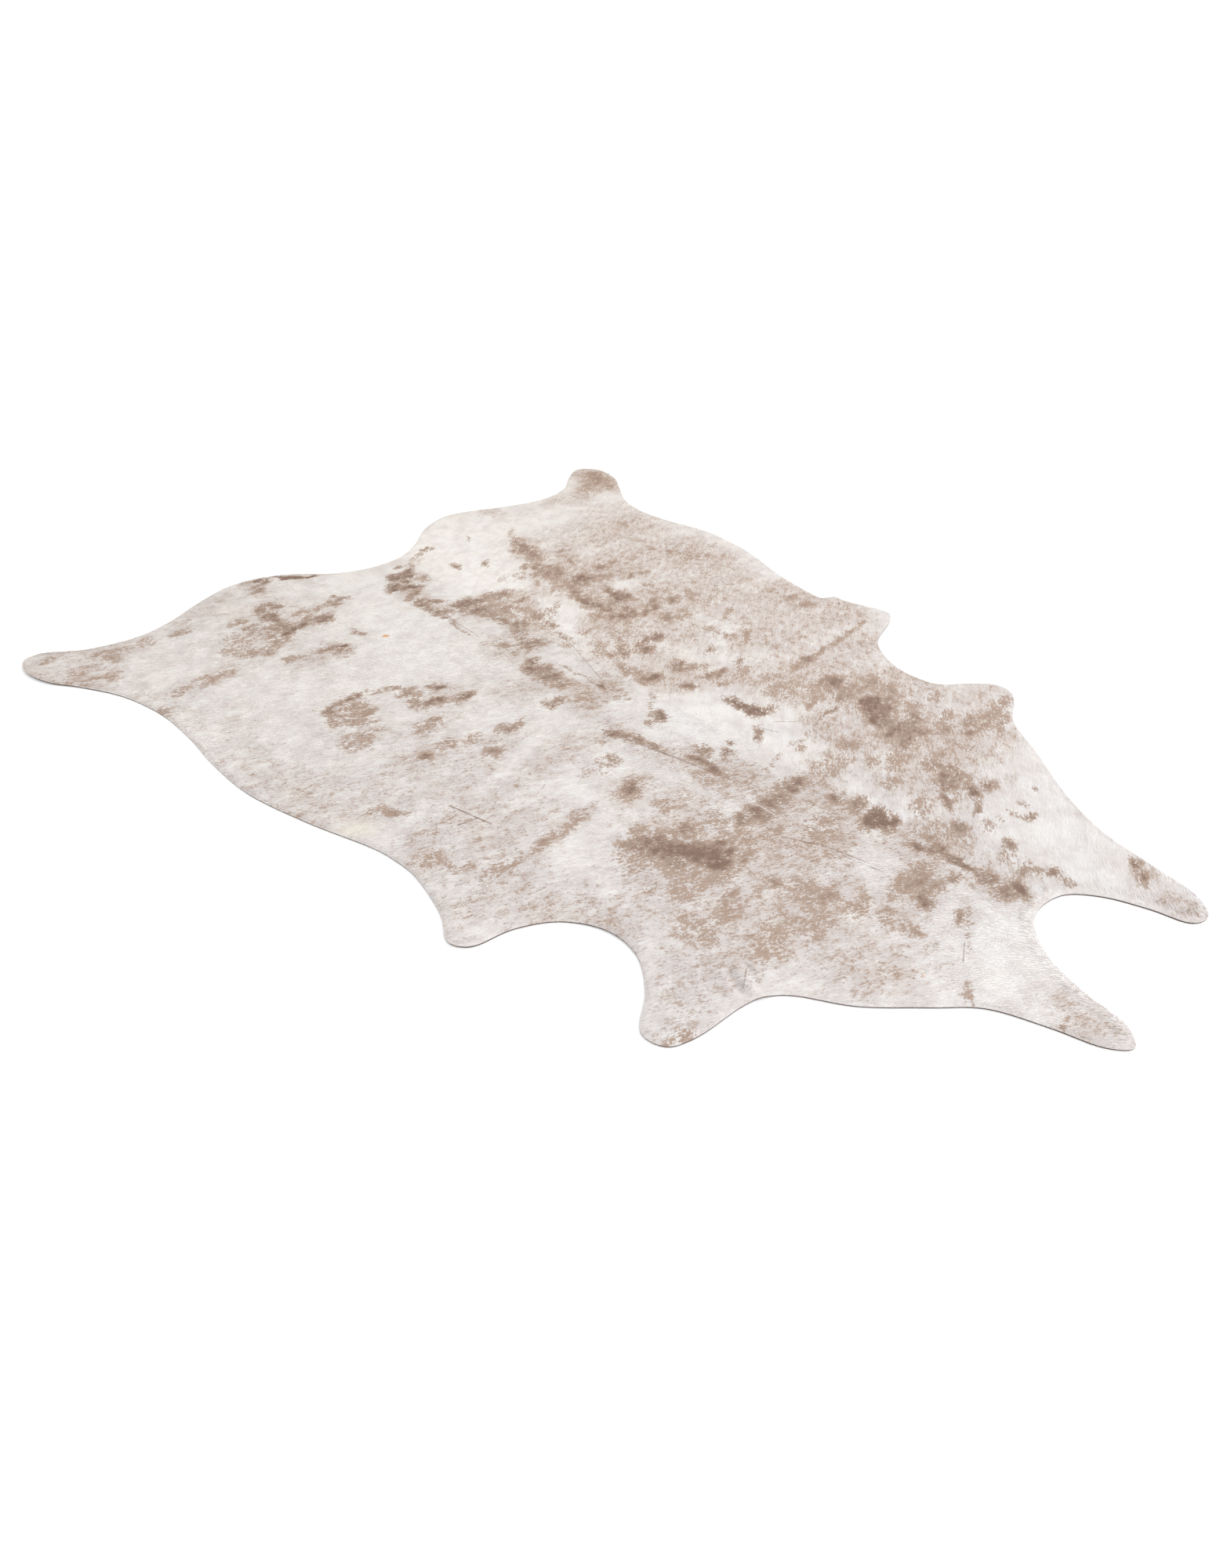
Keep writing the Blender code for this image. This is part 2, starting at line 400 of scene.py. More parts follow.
def suede_material():
    """Return the buffed flesh side: matt grey-brown nap with darker cloudy marks."""
    material = plain_material("flesh_side", (1.0, 1.0, 1.0, 1.0), SUEDE_ROUGHNESS)
    tree = material.node_tree
    shader = tree.nodes["Principled BSDF"]
    place = tree.nodes.new("ShaderNodeTexCoord").outputs["Object"]
    cloud = grain(tree, place, (9.0, 9.0, 9.0), detail=4.0, roughness=0.6, strength=5.0)
    nap = grain(tree, place, (700.0, 700.0, 700.0), detail=2.0, roughness=0.6, strength=5.0)
    cloudy = math_node(tree, "ADD", cloud, 0.5, clamp=True)
    leather = mixed(tree, cloudy, SUEDE_DARK, SUEDE_LIGHT)
    nappy = math_node(tree, "ADD", nap, 0.5, clamp=True)
    darker = mixed(tree, nappy, SUEDE_HOLLOW, leather)
    tree.links.new(darker, shader.inputs["Base Color"])
    bump = new_node(tree, "ShaderNodeBump", Strength=NAP_BUMP, Distance=NAP_HEIGHT, Height=nappy)
    tree.links.new(bump.outputs["Normal"], shader.inputs["Normal"])
    return material


skin_mesh.materials.append(suede_material())

# The pile is the animal's own coat, still rooted in the skin: short hair about 15 mm long,
# brushed flat so that it stands only 2 to 3 mm high. Its body is one soft layer, thickest
# along the spine and thin at the cut edge, with a few troughs where the skin was creased.
PILE_STEP = 0.0062
PILE_UNDERLAP = 0.0002
EDGE_THICK = 0.0029
FLANK_THICK = 0.0040
SPINE_THICK = 0.0052
SPINE_HALF_WIDTH = 0.45
EDGE_ROUNDING = 0.011
SPINE_LAY = math.radians(28.0)
FLANK_LAY = math.radians(75.0)
LAY_TURN_WIDTH = 0.22
MEAN_LAY = math.radians(62.0)
LOCK_TINT = 0.025
UNDULATION = 0.0003
SWELL_SIZE = 0.060
RIPPLE_SIZE = 0.023

# Soft troughs (-) and ridges (+), each along a line, in the pile only
Crease = namedtuple("Crease", "from_across from_along to_across to_along half_width height")
CREASES = (
    Crease(-0.452, -0.688, -0.428, -0.640, 0.009, -0.0012),
    Crease(-0.462, -0.672, -0.442, -0.632, 0.008, 0.0009),
    Crease(-0.470, -0.655, -0.455, -0.622, 0.008, -0.0009),
    Crease(-0.445, -0.620, -0.380, -0.605, 0.010, -0.0008),
    Crease(0.652, -0.090, 0.560, -0.100, 0.010, -0.0012),
    Crease(0.655, -0.160, 0.590, -0.128, 0.010, -0.0010),
    Crease(0.045, 0.445, 0.020, 0.425, 0.005, -0.0010),
)


def crease_height(points):
    """Return the small troughs and ridges in the pile."""
    height = np.zeros(len(points))
    for crease in CREASES:
        start = np.array((crease.from_across, crease.from_along))
        run = np.array((crease.to_across, crease.to_along)) - start
        share = np.clip((points - start) @ run / (run @ run), 0.0, 1.0)
        distance = np.linalg.norm(points - start - share[:, None] * run, axis=1)
        height += crease.height * soft_bump(distance, crease.half_width)
    return height


pile_inner, pile_depth = staggered_points(cut_line, PILE_STEP)
depth_of_pile = np.concatenate((np.zeros(len(cut_line)), pile_depth))


def pile_top(points):
    """Return the height of the hair side."""
    spine = np.exp(-((points[:, 0] / SPINE_HALF_WIDTH) ** 2))
    full = FLANK_THICK + (SPINE_THICK - FLANK_THICK) * spine
    risen = 1.0 - soft_bump(depth_of_pile, EDGE_ROUNDING)
    uneven = soft_noise(points, SWELL_SIZE, 3) + 0.5 * soft_noise(points, RIPPLE_SIZE, 4)
    body = EDGE_THICK + (full - EDGE_THICK + UNDULATION * uneven) * risen
    return floor_gap(points) + body + crease_height(points) * risen


pile_mesh, _, top_faces, _ = closed_sheet(
    "pile",
    cut_line,
    pile_inner,
    skin_inner,
    pile_top,
    lambda points: floor_gap(points) + SKIN_THICK - PILE_UNDERLAP,
)
pile = bpy.data.objects.new("pile", pile_mesh)
bpy.context.scene.collection.objects.link(pile)

# The coat's markings are the hair's own colour: taupe-brown brindle over off-white, with a
# thin tan wash, except the wash ovals at the left hind foot's edge, which are painted shade, and
# the one at the left cove's edge, which is partly painted shade. They are placed as soft ovals, in
# millimetres: middle, half length and width, turn from straight across in degrees, and depth (over 1
# is darker, below 0 is white).
Patch = namedtuple("Patch", "across along half_long half_wide turn depth")
MM = 0.001

TAIL_ROOT = (
    (80, 905, 10, 13, 0, 1.1),
    (102, 906, 11, 14, -20, 1.1),
    (40, 880, 45, 12, 20, 0.5),
    (-35, 862, 14, 10, 0, 0.9),
    (-80, 812, 24, 17, 30, 1.3),
    (-55, 785, 34, 26, 60, 1.4),
    (-28, 822, 34, 14, 28, 1.25),
    (-110, 770, 22, 20, 50, 1.25),
    (-116, 748, 20, 8, -10, 1.3),
    (-78, 732, 36, 14, -35, 1.35),
    (-20, 755, 16, 40, 10, 0.55),
    (-90, 696, 22, 10, 10, 1.0),
    (-118, 680, 12, 14, 0, 0.8),
    (-105, 642, 20, 16, 0, 1.15),
    (-78, 622, 32, 10, -42, 1.15),
    (-112, 605, 40, 14, 90, 1.05),
    (-106, 565, 22, 19, 0, 1.1),
    (-115, 512, 42, 9, 90, 1.0),
    (-121, 450, 40, 5, 86, 0.9),
    (-68, 572, 22, 10, 110, 0.9),
    (-75, 535, 22, 16, 0, 0.7),
    (-45, 552, 20, 26, 0, 1.15),
    (-18, 557, 26, 20, 0, 1.1),
    (8, 545, 36, 18, -12, 1.15),
    (40, 530, 34, 19, -5, 1.0),
    (70, 522, 26, 18, 0, 1.1),
    (96, 520, 12, 10, 0, 0.8),
    (-32, 507, 26, 18, 0, 1.15),
    (-35, 478, 16, 26, 10, 1.05),
    (4, 490, 34, 24, 0, 0.85),
    (50, 495, 26, 14, 0, 0.7),
    (-75, 592, 12, 10, 0, -0.8),
    (-66, 463, 18, 22, 0, -0.8),
)
SPINE = (
    (36, 456, 20, 13, 0, 1.1),
    (90, 464, 32, 6, 0, 1.2),
    (-22, 425, 44, 12, 96, 1.0),
    (12, 440, 14, 26, 0, 0.95),
    (52, 425, 12, 26, 0, 0.95),
    (0, 372, 26, 22, 0, 1.15),
    (56, 375, 24, 18, 20, 1.05),
    (86, 376, 18, 12, 0, 0.75),
    (95, 352, 22, 12, 45, 0.55),
    (-30, 345, 20, 22, 0, 0.95),
    (-48, 308, 11, 22, 0, 1.15),
    (-40, 278, 28, 20, -20, 1.05),
    (-82, 272, 22, 13, -35, 0.75),
    (-100, 318, 16, 22, 20, 0.75),
    (50, 325, 30, 20, 60, 0.8),
    (18, 215, 22, 14, 0, 0.5),
    (-92, 220, 18, 12, 10, 1.25),
    (-118, 198, 20, 18, 0, 1.15),
    (-100, 176, 20, 18, 0, 1.1),
    (-110, 138, 24, 34, 0, 1.0),
    (-108, 102, 22, 22, 0, 0.85),
    (-184, 66, 12, 17, 0, 1.0),
    (-160, 62, 18, 14, 0, 0.95),
    (-56, 30, 7, 16, 0, 1.3),
    (-56, 105, 60, 3.5, 89, 0.65),
    (-52, -30, 17, 17, 0, 0.6),
    (-112, 32, 16, 20, 0, 0.55),
    (-48, -130, 22, 20, 0, 1.15),
    (-80, -138, 20, 10, 20, 0.8),
    (-20, -88, 30, 7, 42, 0.65),
    (35, 250, 30, 7, 95, 0.85),
    (-56, 30, 7, 16, 0, 1.2),
)
RIGHT_BAND = (
    (297, 722, 44, 22, 62, 1.1),
    (300, 695, 30, 22, 50, 1.05),
    (322, 765, 30, 18, 68, 0.8),
    (345, 812, 36, 12, 48, 0.5),
    (270, 710, 14, 18, 20, 0.95),
    (282, 652, 26, 22, 60, 1.0),
    (224, 612, 18, 14, 30, 1.05),
    (265, 622, 26, 18, 20, 0.95),
    (243, 583, 20, 18, 0, 1.05),
    (222, 545, 22, 26, 40, 0.95),
    (262, 545, 26, 28, 30, 1.0),
    (250, 510, 34, 18, 0, 1.0),
    (225, 500, 20, 24, 40, 0.75),
    (305, 550, 52, 10, 74, -1.0),
    (285, 502, 20, 10, 30, -0.9),
    (330, 540, 26, 7, 72, 1.1),
    (358, 606, 22, 11, 20, 0.85),
    (262, 458, 26, 20, 30, 1.2),
    (288, 446, 22, 18, 50, 1.45),
    (225, 462, 26, 22, 0, 0.8),
    (232, 430, 26, 18, 0, 0.9),
    (265, 425, 28, 18, 20, 1.05),
    (190, 450, 20, 16, 50, 0.6),
    (370, 460, 22, 18, -20, 1.1),
    (410, 456, 20, 11, 0, 0.95),
    (310, 422, 34, 18, 0, 0.9),
    (345, 400, 36, 16, -10, 0.7),
    (218, 400, 22, 20, 0, 1.0),
    (203, 370, 20, 26, 0, 1.15),
    (195, 330, 26, 26, 0, 1.35),
    (208, 298, 22, 28, 0, 1.25),
    (205, 270, 26, 18, 0, 1.1),
    (160, 265, 14, 18, 30, 0.75),
    (244, 350, 18, 18, 40, -0.75),
    (276, 338, 14, 24, -15, 1.1),
    (270, 292, 30, 36, -20, 1.4),
    (292, 300, 12, 26, -30, 0.95),
    (332, 330, 26, 24, 0, -0.95),
    (316, 300, 14, 14, 0, -0.8),
    (371, 280, 14, 18, 0, 1.05),
    (405, 352, 30, 10, -10, 0.95),
    (175, 235, 20, 18, 30, 0.95),
    (202, 218, 26, 18, 0, 1.15),
    (228, 204, 20, 18, 0, 1.15),
    (242, 228, 12, 26, -10, 1.05),
    (200, 185, 28, 10, 10, 0.9),
    (86, 232, 18, 12, -30, 0.6),
    (264, 184, 20, 14, 10, 1.05),
    (295, 195, 26, 18, 30, 1.15),
    (322, 218, 22, 9, 20, 0.95),
    (360, 186, 22, 12, 10, 1.05),
)
RIGHT_SADDLE = (
    (282, 130, 26, 15, 30, 0.95),
    (330, 112, 26, 14, 25, 0.7),
    (418, 172, 30, 10, 42, 0.8),
    (40, 140, 22, 14, 60, 0.8),
    (52, 112, 16, 12, 0, 0.85),
    (76, 88, 28, 14, 10, 1.1),
    (88, 112, 24, 12, 0, 0.8),
    (126, 70, 26, 22, 0, 1.25),
    (158, 92, 26, 10, 20, 1.15),
    (190, 86, 28, 12, 0, 1.1),
    (112, 140, 26, 18, 0, 0.55),
    (165, 140, 32, 22, 30, 0.55),
    (125, 168, 14, 16, 0, 0.5),
    (60, 160, 34, 16, 45, 0.45),
    (28, 38, 18, 28, 15, 0.95),
    (46, 12, 12, 22, 20, 0.85),
    (28, -22, 20, 16, 0, 1.0),
    (55, -32, 19, 16, -30, 1.35),
    (130, -30, 24, 18, 30, 1.2),
    (128, -52, 26, 10, -15, 1.05),
    (155, -70, 20, 10, -30, 0.95),
    (235, -42, 26, 14, 20, 0.9),
    (305, 10, 16, 26, 0, 0.6),
    (315, -35, 16, 20, 0, 0.8),
    (360, -55, 40, 10, 40, 0.7),
    (402, 34, 34, 10, 25, 0.75),
    (80, -102, 12, 24, 15, 1.2),
    (144, -110, 22, 13, -10, 1.25),
    (168, -122, 22, 11, 0, 1.25),
    (134, -158, 18, 12, -30, 1.0),
    (245, -128, 24, 11, 10, 0.95),
    (205, -155, 34, 14, 15, 0.55),
)
RIGHT_SHOULDER = (
    (103, -230, 15, 32, 0, 1.45),
    (110, -262, 20, 20, 0, 1.45),
    (124, -284, 26, 8, -15, 1.25),
    (55, -312, 26, 9, 30, 0.95),
    (240, -212, 18, 12, 0, 0.85),
    (222, -265, 50, 24, 10, 0.58),
    (320, -240, 30, 10, 0, 0.85),
    (362, -232, 26, 11, 0, 1.15),
    (420, -232, 40, 6, 5, 0.85),
    (500, -238, 50, 7, 3, 0.9),
    (585, -230, 45, 6, 4, 0.85),
    (370, -262, 50, 9, 3, -0.9),
    (300, -302, 46, 9, -5, 0.95),
    (322, -325, 34, 22, -10, 1.3),
    (292, -338, 22, 10, 0, 1.0),
    (215, -342, 30, 7, 0, 0.95),
    (245, -325, 22, 9, 20, 0.75),
    (280, -372, 26, 18, 0, 1.2),
    (312, -368, 26, 18, 0, 0.95),
    (352, -375, 34, 20, 10, 0.8),
    (380, -385, 18, 18, 0, 0.85),
    (302, -428, 46, 24, 10, 1.5),
    (262, -462, 30, 18, 0, 1.5),
    (302, -462, 30, 18, 0, 1.2),
    (342, -452, 24, 20, 0, 0.95),
    (372, -425, 22, 30, 0, 0.75),
    (260, -485, 36, 12, 0, 1.0),
    (230, -510, 18, 14, 0, 1.1),
    (272, -506, 28, 12, 0, 1.35),
    (262, -530, 36, 13, 0, 1.15),
    (236, -546, 20, 6, 5, 1.3),
    (282, -540, 12, 6, 0, 1.3),
    (316, -515, 30, 18, 10, 1.0),
    (355, -500, 20, 18, 0, 0.65),
    (145, -468, 14, 20, 0, 0.9),
    (60, -478, 60, 24, 0, 0.5),
    (-40, -446, 32, 14, 0, 1.05),
    (-34, -462, 26, 10, 0, 1.2),
    (65, -410, 18, 12, 0, 0.55),
    (30, -390, 150, 4, 2, 0.5),
    (132, -528, 14, 14, 0, 0.8),
    (170, -568, 36, 22, 0, 0.58),
    (95, -585, 22, 14, -10, 0.6),
    (170, -665, 44, 22, 25, 1.05),
    (200, -620, 18, 15, 0, 0.95),
    (215, -645, 10, 26, 0, 0.95),
    (122, -690, 28, 9, 42, 1.0),
    (208, -675, 18, 18, 0, 1.0),
    (190, -700, 16, 12, 0, 1.1),
    (176, -716, 18, 7, 5, 1.3),
    (214, -718, 24, 12, -30, 1.0),
    (148, -732, 26, 7, 8, 1.0),
    (322, -578, 22, 13, 0, 1.0),
    (352, -626, 26, 8, -5, 1.1),
    (385, -610, 34, 12, 0, 0.9),
    (402, -632, 46, 13, 0, 0.85),
    (460, -625, 44, 12, 5, 0.75),
    (432, -656, 36, 10, 5, 0.85),
    (505, -628, 30, 10, 0, 0.7),
    (270, -582, 30, 9, -30, -0.9),
    (325, -645, 30, 12, 0, -0.8),
    (362, -566, 34, 16, 0, 0.65),
    (420, -520, 22, 10, 10, 0.6),
    (250, -615, 24, 10, -20, 0.75),
    (215, -385, 30, 6, 0, 1.2),
    (225, -557, 24, 11, 0, 1.1),
    (285, -556, 22, 9, 0, 1.1),
    (28, -330, 13, 6, 10, 1.0),
)
NECK = (
    (-18, -540, 12, 20, 0, 1.05),
    (0, -578, 26, 12, 0, 1.15),
    (14, -605, 12, 16, 0, 1.0),
    (-10, -645, 20, 8, 0, 1.4),
    (-16, -712, 10, 24, 0, 1.35),
    (2, -735, 14, 14, 0, 1.2),
    (20, -710, 20, 9, 0, 0.95),
    (44, -735, 10, 12, 0, 0.95),
    (72, -733, 18, 18, 0, 1.15),
    (-8, -775, 9, 30, 0, 1.25),
    (-6, -815, 14, 18, 0, 1.25),
    (0, -860, 18, 20, 0, 1.35),
    (-18, -852, 14, 12, 0, 1.0),
    (35, -858, 34, 5, 5, 1.0),
    (62, -868, 9, 14, 0, 0.75),
    (78, -890, 18, 8, -5, 1.05),
    (75, -912, 14, 9, 0, 0.65),
    (196, -988, 18, 10, 40, 1.15),
    (170, -1008, 18, 8, 20, 1.15),
    (-130, -765, 18, 16, 0, 1.05),
    (-110, -745, 30, 22, 0, 0.8),
    (-75, -735, 30, 22, 0, 0.75),
    (-90, -765, 16, 16, 0, 0.95),
    (-130, -720, 24, 10, 10, 0.75),
    (-45, -780, 20, 9, -10, 1.05),
    (-122, -823, 16, 8, 10, 1.05),
    (-140, -850, 34, 4, 22, 0.7),
    (-198, -820, 3, 2, 0, 1.3),
    (-245, -895, 22, 8, 25, 0.6),
    (-202, -1014, 2.8, 2.8, 0, 1.6),
    (-190, -735, 16, 10, 0, 0.75),
    (-192, -778, 14, 16, 0, 0.8),
    (-205, -700, 30, 10, 10, 0.75),
    (34, -765, 20, 9, 0, 0.7),
    (80, -817, 22, 8, 5, 0.95),
    (184, -810, 14, 9, -35, 1.15),
    (175, -790, 10, 12, 0, 0.55),
    (212, -792, 10, 12, 20, 0.65),
    (270, -787, 4, 4, 0, 1.3),
    (75, -660, 30, 16, 0, 0.42),
    (120, -770, 26, 14, 0, 0.45),
    (-13, -624, 28, 26, 0, 1.5),
)
LEFT_SHOULDER = (
    (-160, -105, 16, 14, 0, 1.1),
    (-148, -145, 34, 11, 104, 1.15),
    (-135, -185, 26, 10, 106, 1.1),
    (-108, -275, 26, 10, 105, 1.2),
    (-78, -270, 20, 14, 0, 1.05),
    (-50, -308, 12, 10, 20, 1.45),
    (-22, -295, 9, 6, 20, 1.4),
    (-100, -320, 14, 26, 0, 1.1),
    (-142, -320, 14, 14, 0, 0.65),
    (-170, -105, 30, 10, 20, 0.55),
    (-258, -243, 26, 20, 20, 1.15),
    (-232, -160, 22, 16, -30, 0.75),
    (-255, -325, 12, 18, 0, 0.8),
    (-345, -365, 48, 34, -10, 1.05),
    (-375, -355, 26, 24, 0, 0.8),
    (-325, -395, 36, 34, -40, 1.25),
    (-305, -440, 34, 30, -60, 1.45),
    (-335, -435, 30, 22, -30, 1.15),
    (-292, -472, 28, 22, -20, 1.5),
    (-262, -462, 20, 20, 0, 1.35),
    (-270, -390, 26, 18, -20, 1.0),
    (-395, -385, 14, 18, 0, 0.65),
    (-370, -470, 36, 26, 0, 0.62),
    (-260, -505, 30, 12, 0, 1.0),
    (-320, -500, 40, 10, 0, 0.7),
    (-225, -470, 24, 34, 0, 0.7),
    (-215, -410, 24, 26, 0, 0.45),
    (-182, -448, 18, 14, 0, 1.3),
    (-150, -455, 18, 18, 0, 1.2),
    (-140, -480, 26, 10, 0, 1.2),
    (-110, -455, 18, 22, 0, 1.15),
    (-85, -460, 20, 18, 0, 0.95),
    (-170, -510, 26, 8, 0, 0.75),
    (-105, -560, 34, 22, 0, 0.6),
    (-262, -578, 10, 20, 0, 1.0),
    (-345, -545, 36, 14, 10, 0.8),
    (-350, -562, 22, 9, 0, 0.75),
    (-235, -655, 28, 16, -30, 0.9),
    (-245, -625, 20, 20, 0, 0.72),
    (-360, -635, 40, 26, 10, 0.55),
    (-290, -665, 30, 22, 0, 0.62),
    (-420, -545, 30, 30, 0, 0.42),
    (-580, -645, 24, 8, -12, 0.85),
    (-418, -438, 16, 10, 10, 0.95),
)
LEFT_FLANK = (
    (-465, 386, 34, 10, 5, 1.15),
    (-525, 372, 20, 18, 20, 1.0),
    (-500, 380, 26, 13, 0, 0.95),
    (-525, 335, 18, 26, 0, 0.85),
    (-475, 350, 34, 24, 0, 0.78),
    (-505, 310, 16, 18, -20, 0.95),
    (-472, 318, 22, 12, 40, 0.85),
    (-490, 285, 18, 16, -30, 0.7),
    (-530, 240, 34, 24, 0, 0.55),
    (-385, 355, 22, 10, -30, 0.85),
    (-370, 318, 18, 24, 0, 0.8),
    (-405, 370, 26, 9, 0, 0.45),
    (-312, 292, 20, 12, -30, 1.2),
    (-298, 275, 22, 7, -55, 1.3),
    (-342, 252, 24, 18, -20, 1.3),
    (-372, 258, 22, 13, -30, 0.95),
    (-372, 282, 16, 12, 0, 0.85),
    (-292, 215, 22, 16, 0, 1.1),
    (-425, 190, 14, 20, 0, 0.8),
    (-395, 188, 20, 15, 0, 0.72),
    (-470, 108, 18, 13, -10, 1.15),
    (-418, 110, 18, 13, 0, 0.95),
    (-372, 85, 18, 16, 0, 0.55),
    (-300, 68, 16, 16, 0, 1.05),
    (-280, 60, 18, 14, 0, 0.55),
    (-370, 24, 24, 15, -20, 0.95),
    (-622, 42, 16, 12, -30, 0.85),
    (-602, 12, 22, 9, -50, 0.85),
    (-625, -130, 18, 16, 0, 0.75),
    (-600, -175, 24, 10, -40, 0.55),
    (-550, -238, 26, 8, -10, 0.9),
    (-565, -222, 24, 12, 0, 0.55),
    (-478, -232, 36, 8, 5, 0.8),
    (-400, -232, 50, 13, 3, 0.62),
    (-265, -160, 30, 16, 0, 0.45),
)
LEFT_RUMP = (
    (-380, 603, 28, 12, 0, 1.15),
    (-360, 600, 14, 10, 0, 1.3),
    (-375, 580, 28, 16, -10, 0.85),
    (-415, 612, 14, 16, 0, 0.75),
    (-478, 628, 18, 14, -30, 0.75),
    (-380, 550, 22, 12, 0, 0.5),
    (-304, 625, 10, 26, 10, 0.85),
    (-420, 845, 46, 18, 92, 1.15),
    (-410, 905, 28, 18, 30, 0.95),
    (-380, 890, 26, 14, -60, 0.95),
    (-425, 790, 22, 26, 0, 1.0),
    (-395, 760, 26, 14, 10, 1.35),
    (-430, 738, 34, 13, 30, 1.25),
    (-350, 757, 34, 14, 0, 1.1),
    (-328, 738, 24, 16, 10, 1.45),
    (-365, 780, 20, 14, 0, 0.75),
    (-460, 780, 24, 36, 0, 0.8),
    (-468, 720, 26, 18, 40, 0.85),
    (-405, 722, 32, 17, 10, -1.0),
    (-350, 715, 16, 12, 0, -0.9),
    (-355, 815, 30, 22, 0, 0.5),
    (-310, 805, 34, 12, 10, 0.6),
    (-268, 822, 30, 10, 40, 0.85),
    (-235, 812, 20, 10, -50, 1.15),
    (-490, 880, 22, 18, 0, 0.85),
    (-485, 832, 16, 12, 0, 0.9),
    (-520, 800, 34, 30, 0, 0.6),
    (-505, 690, 26, 11, -25, 0.9),
    (-530, 722, 30, 22, -40, 0.65),
    (-555, 760, 30, 24, 0, 0.5),
    (-610, 935, 26, 16, 0, 0.7),
    (-660, 680, 20, 20, -40, 0.75),
    (-610, 678, 22, 12, 0, 0.68),
    (-715, 680, 18, 14, 0, 0.6),
    (-768, 635, 10, 22, 0, 0.85),
    (-352, 1060, 30, 10, -30, 1.25),
    (-335, 1045, 16, 20, 0, 1.15),
    (-362, 1018, 26, 16, 30, 0.95),
    (-375, 1000, 18, 12, 0, 0.85),
    (-285, 1035, 30, 12, -40, 1.7),
    (-262, 1012, 28, 9, -42, 1.7),
    (-235, 985, 26, 6, -42, 1.5),
    (-875, 1020, 14, 16, 0, 0.75),
    (-840, 925, 24, 18, 10, 0.62),
    (-770, 935, 22, 18, 0, 0.72),
    (-770, 965, 50, 12, -10, 0.55),
    (-825, 865, 20, 14, 0, 0.62),
    (-785, 850, 18, 24, 0, 0.55),
    (-680, 955, 14, 22, -30, 0.6),
    (-258, 800, 30, 12, 30, 0.95),
)
RIGHT_RUMP = (
    (170, 572, 30, 18, 40, 0.42),
    (130, 595, 20, 14, 40, 0.4),
    (180, 505, 20, 10, 50, 0.5),
    (130, 375, 20, 10, 45, 0.55),
    (625, 618, 20, 18, 0, 0.68),
    (570, 375, 18, 12, 10, 0.85),
    (555, 435, 10, 20, 20, 0.75),
    (610, 325, 34, 26, 0, 0.72),
    (630, 290, 22, 18, 0, 0.65),
    (470, 425, 18, 12, 0, 0.65),
    (590, -35, 20, 12, 0, 0.85),
    (585, -85, 18, 14, 0, 0.85),
    (562, 80, 16, 12, 0, -0.7),
    (160, 702, 24, 12, 35, 1.0),
    (83, 750, 8, 26, 0, 1.0),
    (225, 872, 20, 4, 60, 0.95),
    (850, 955, 50, 38, 55, 0.95),
    (785, 922, 40, 30, 30, 0.65),
    (880, 1000, 30, 30, 0, 0.85),
    (830, 875, 26, 16, 50, 0.9),
)
RIGHT_HIND_WASH = (
    (850, 960, 85, 46, 62, 1.45),
    (875, 920, 34, 16, 60, 1.3),
    (790, 925, 60, 46, 40, 1.05),
    (740, 895, 46, 40, 20, 0.75),
    (690, 870, 60, 40, 20, 0.5),
    (620, 905, 60, 30, 0, 0.48),
    (640, 700, 100, 70, 20, 0.62),
    (620, 620, 120, 70, 0, 0.72),
    (520, 600, 80, 50, 20, 0.62),
    (600, 500, 120, 50, 0, 0.5),
    (640, 550, 80, 20, 0, 0.6),
    (600, 380, 110, 60, 0, 0.68),
    (590, 300, 110, 50, 0, 0.72),
    (570, 210, 100, 50, 0, 0.62),
    (440, 480, 60, 50, 0, 0.55),
    (480, 380, 60, 60, 0, 0.52),
    (430, 300, 50, 50, 0, 0.4),
    (460, 220, 60, 50, 0, 0.5),
    (380, 420, 50, 50, 0, 0.52),
    (260, 380, 70, 120, 0, 0.62),
    (240, 520, 50, 90, 0, 0.62),
    (220, 250, 70, 50, 0, 0.58),
    (440, 640, 80, 40, 10, 0.42),
    (420, 720, 70, 40, 20, 0.3),
    (20, 360, 60, 60, 0, 0.52),
    (10, 500, 80, 60, 0, 0.6),
    (40, 420, 50, 50, 0, 0.62),
    (330, 550, 90, 50, 60, 0.75),
    (330, 470, 50, 40, 0, 0.85),
    (420, 430, 50, 50, 0, 0.75),
    (140, 220, 50, 50, 0, 0.85),
    (350, 230, 60, 60, 45, 0.9),
    (290, 650, 40, 50, 60, 0.85),
    (330, 730, 40, 30, 60, 0.65),
    (840, 860, 40, 40, 0, 0.8),
    (860, 1030, 50, 40, 0, 0.9),
    (400, 980, 30, 50, 0, 0.5),
    (530, 700, 40, 50, 60, 0.6),
    (80, 440, 50, 40, 0, 0.75),
    (360, 380, 80, 50, 0, 0.85),
    (640, 240, 70, 30, 0, 0.75),
    (30, 860, 40, 20, 20, 0.6),
    (550, 420, 80, 50, 0, 0.6),
    (140, 450, 40, 40, 0, 0.55),
)
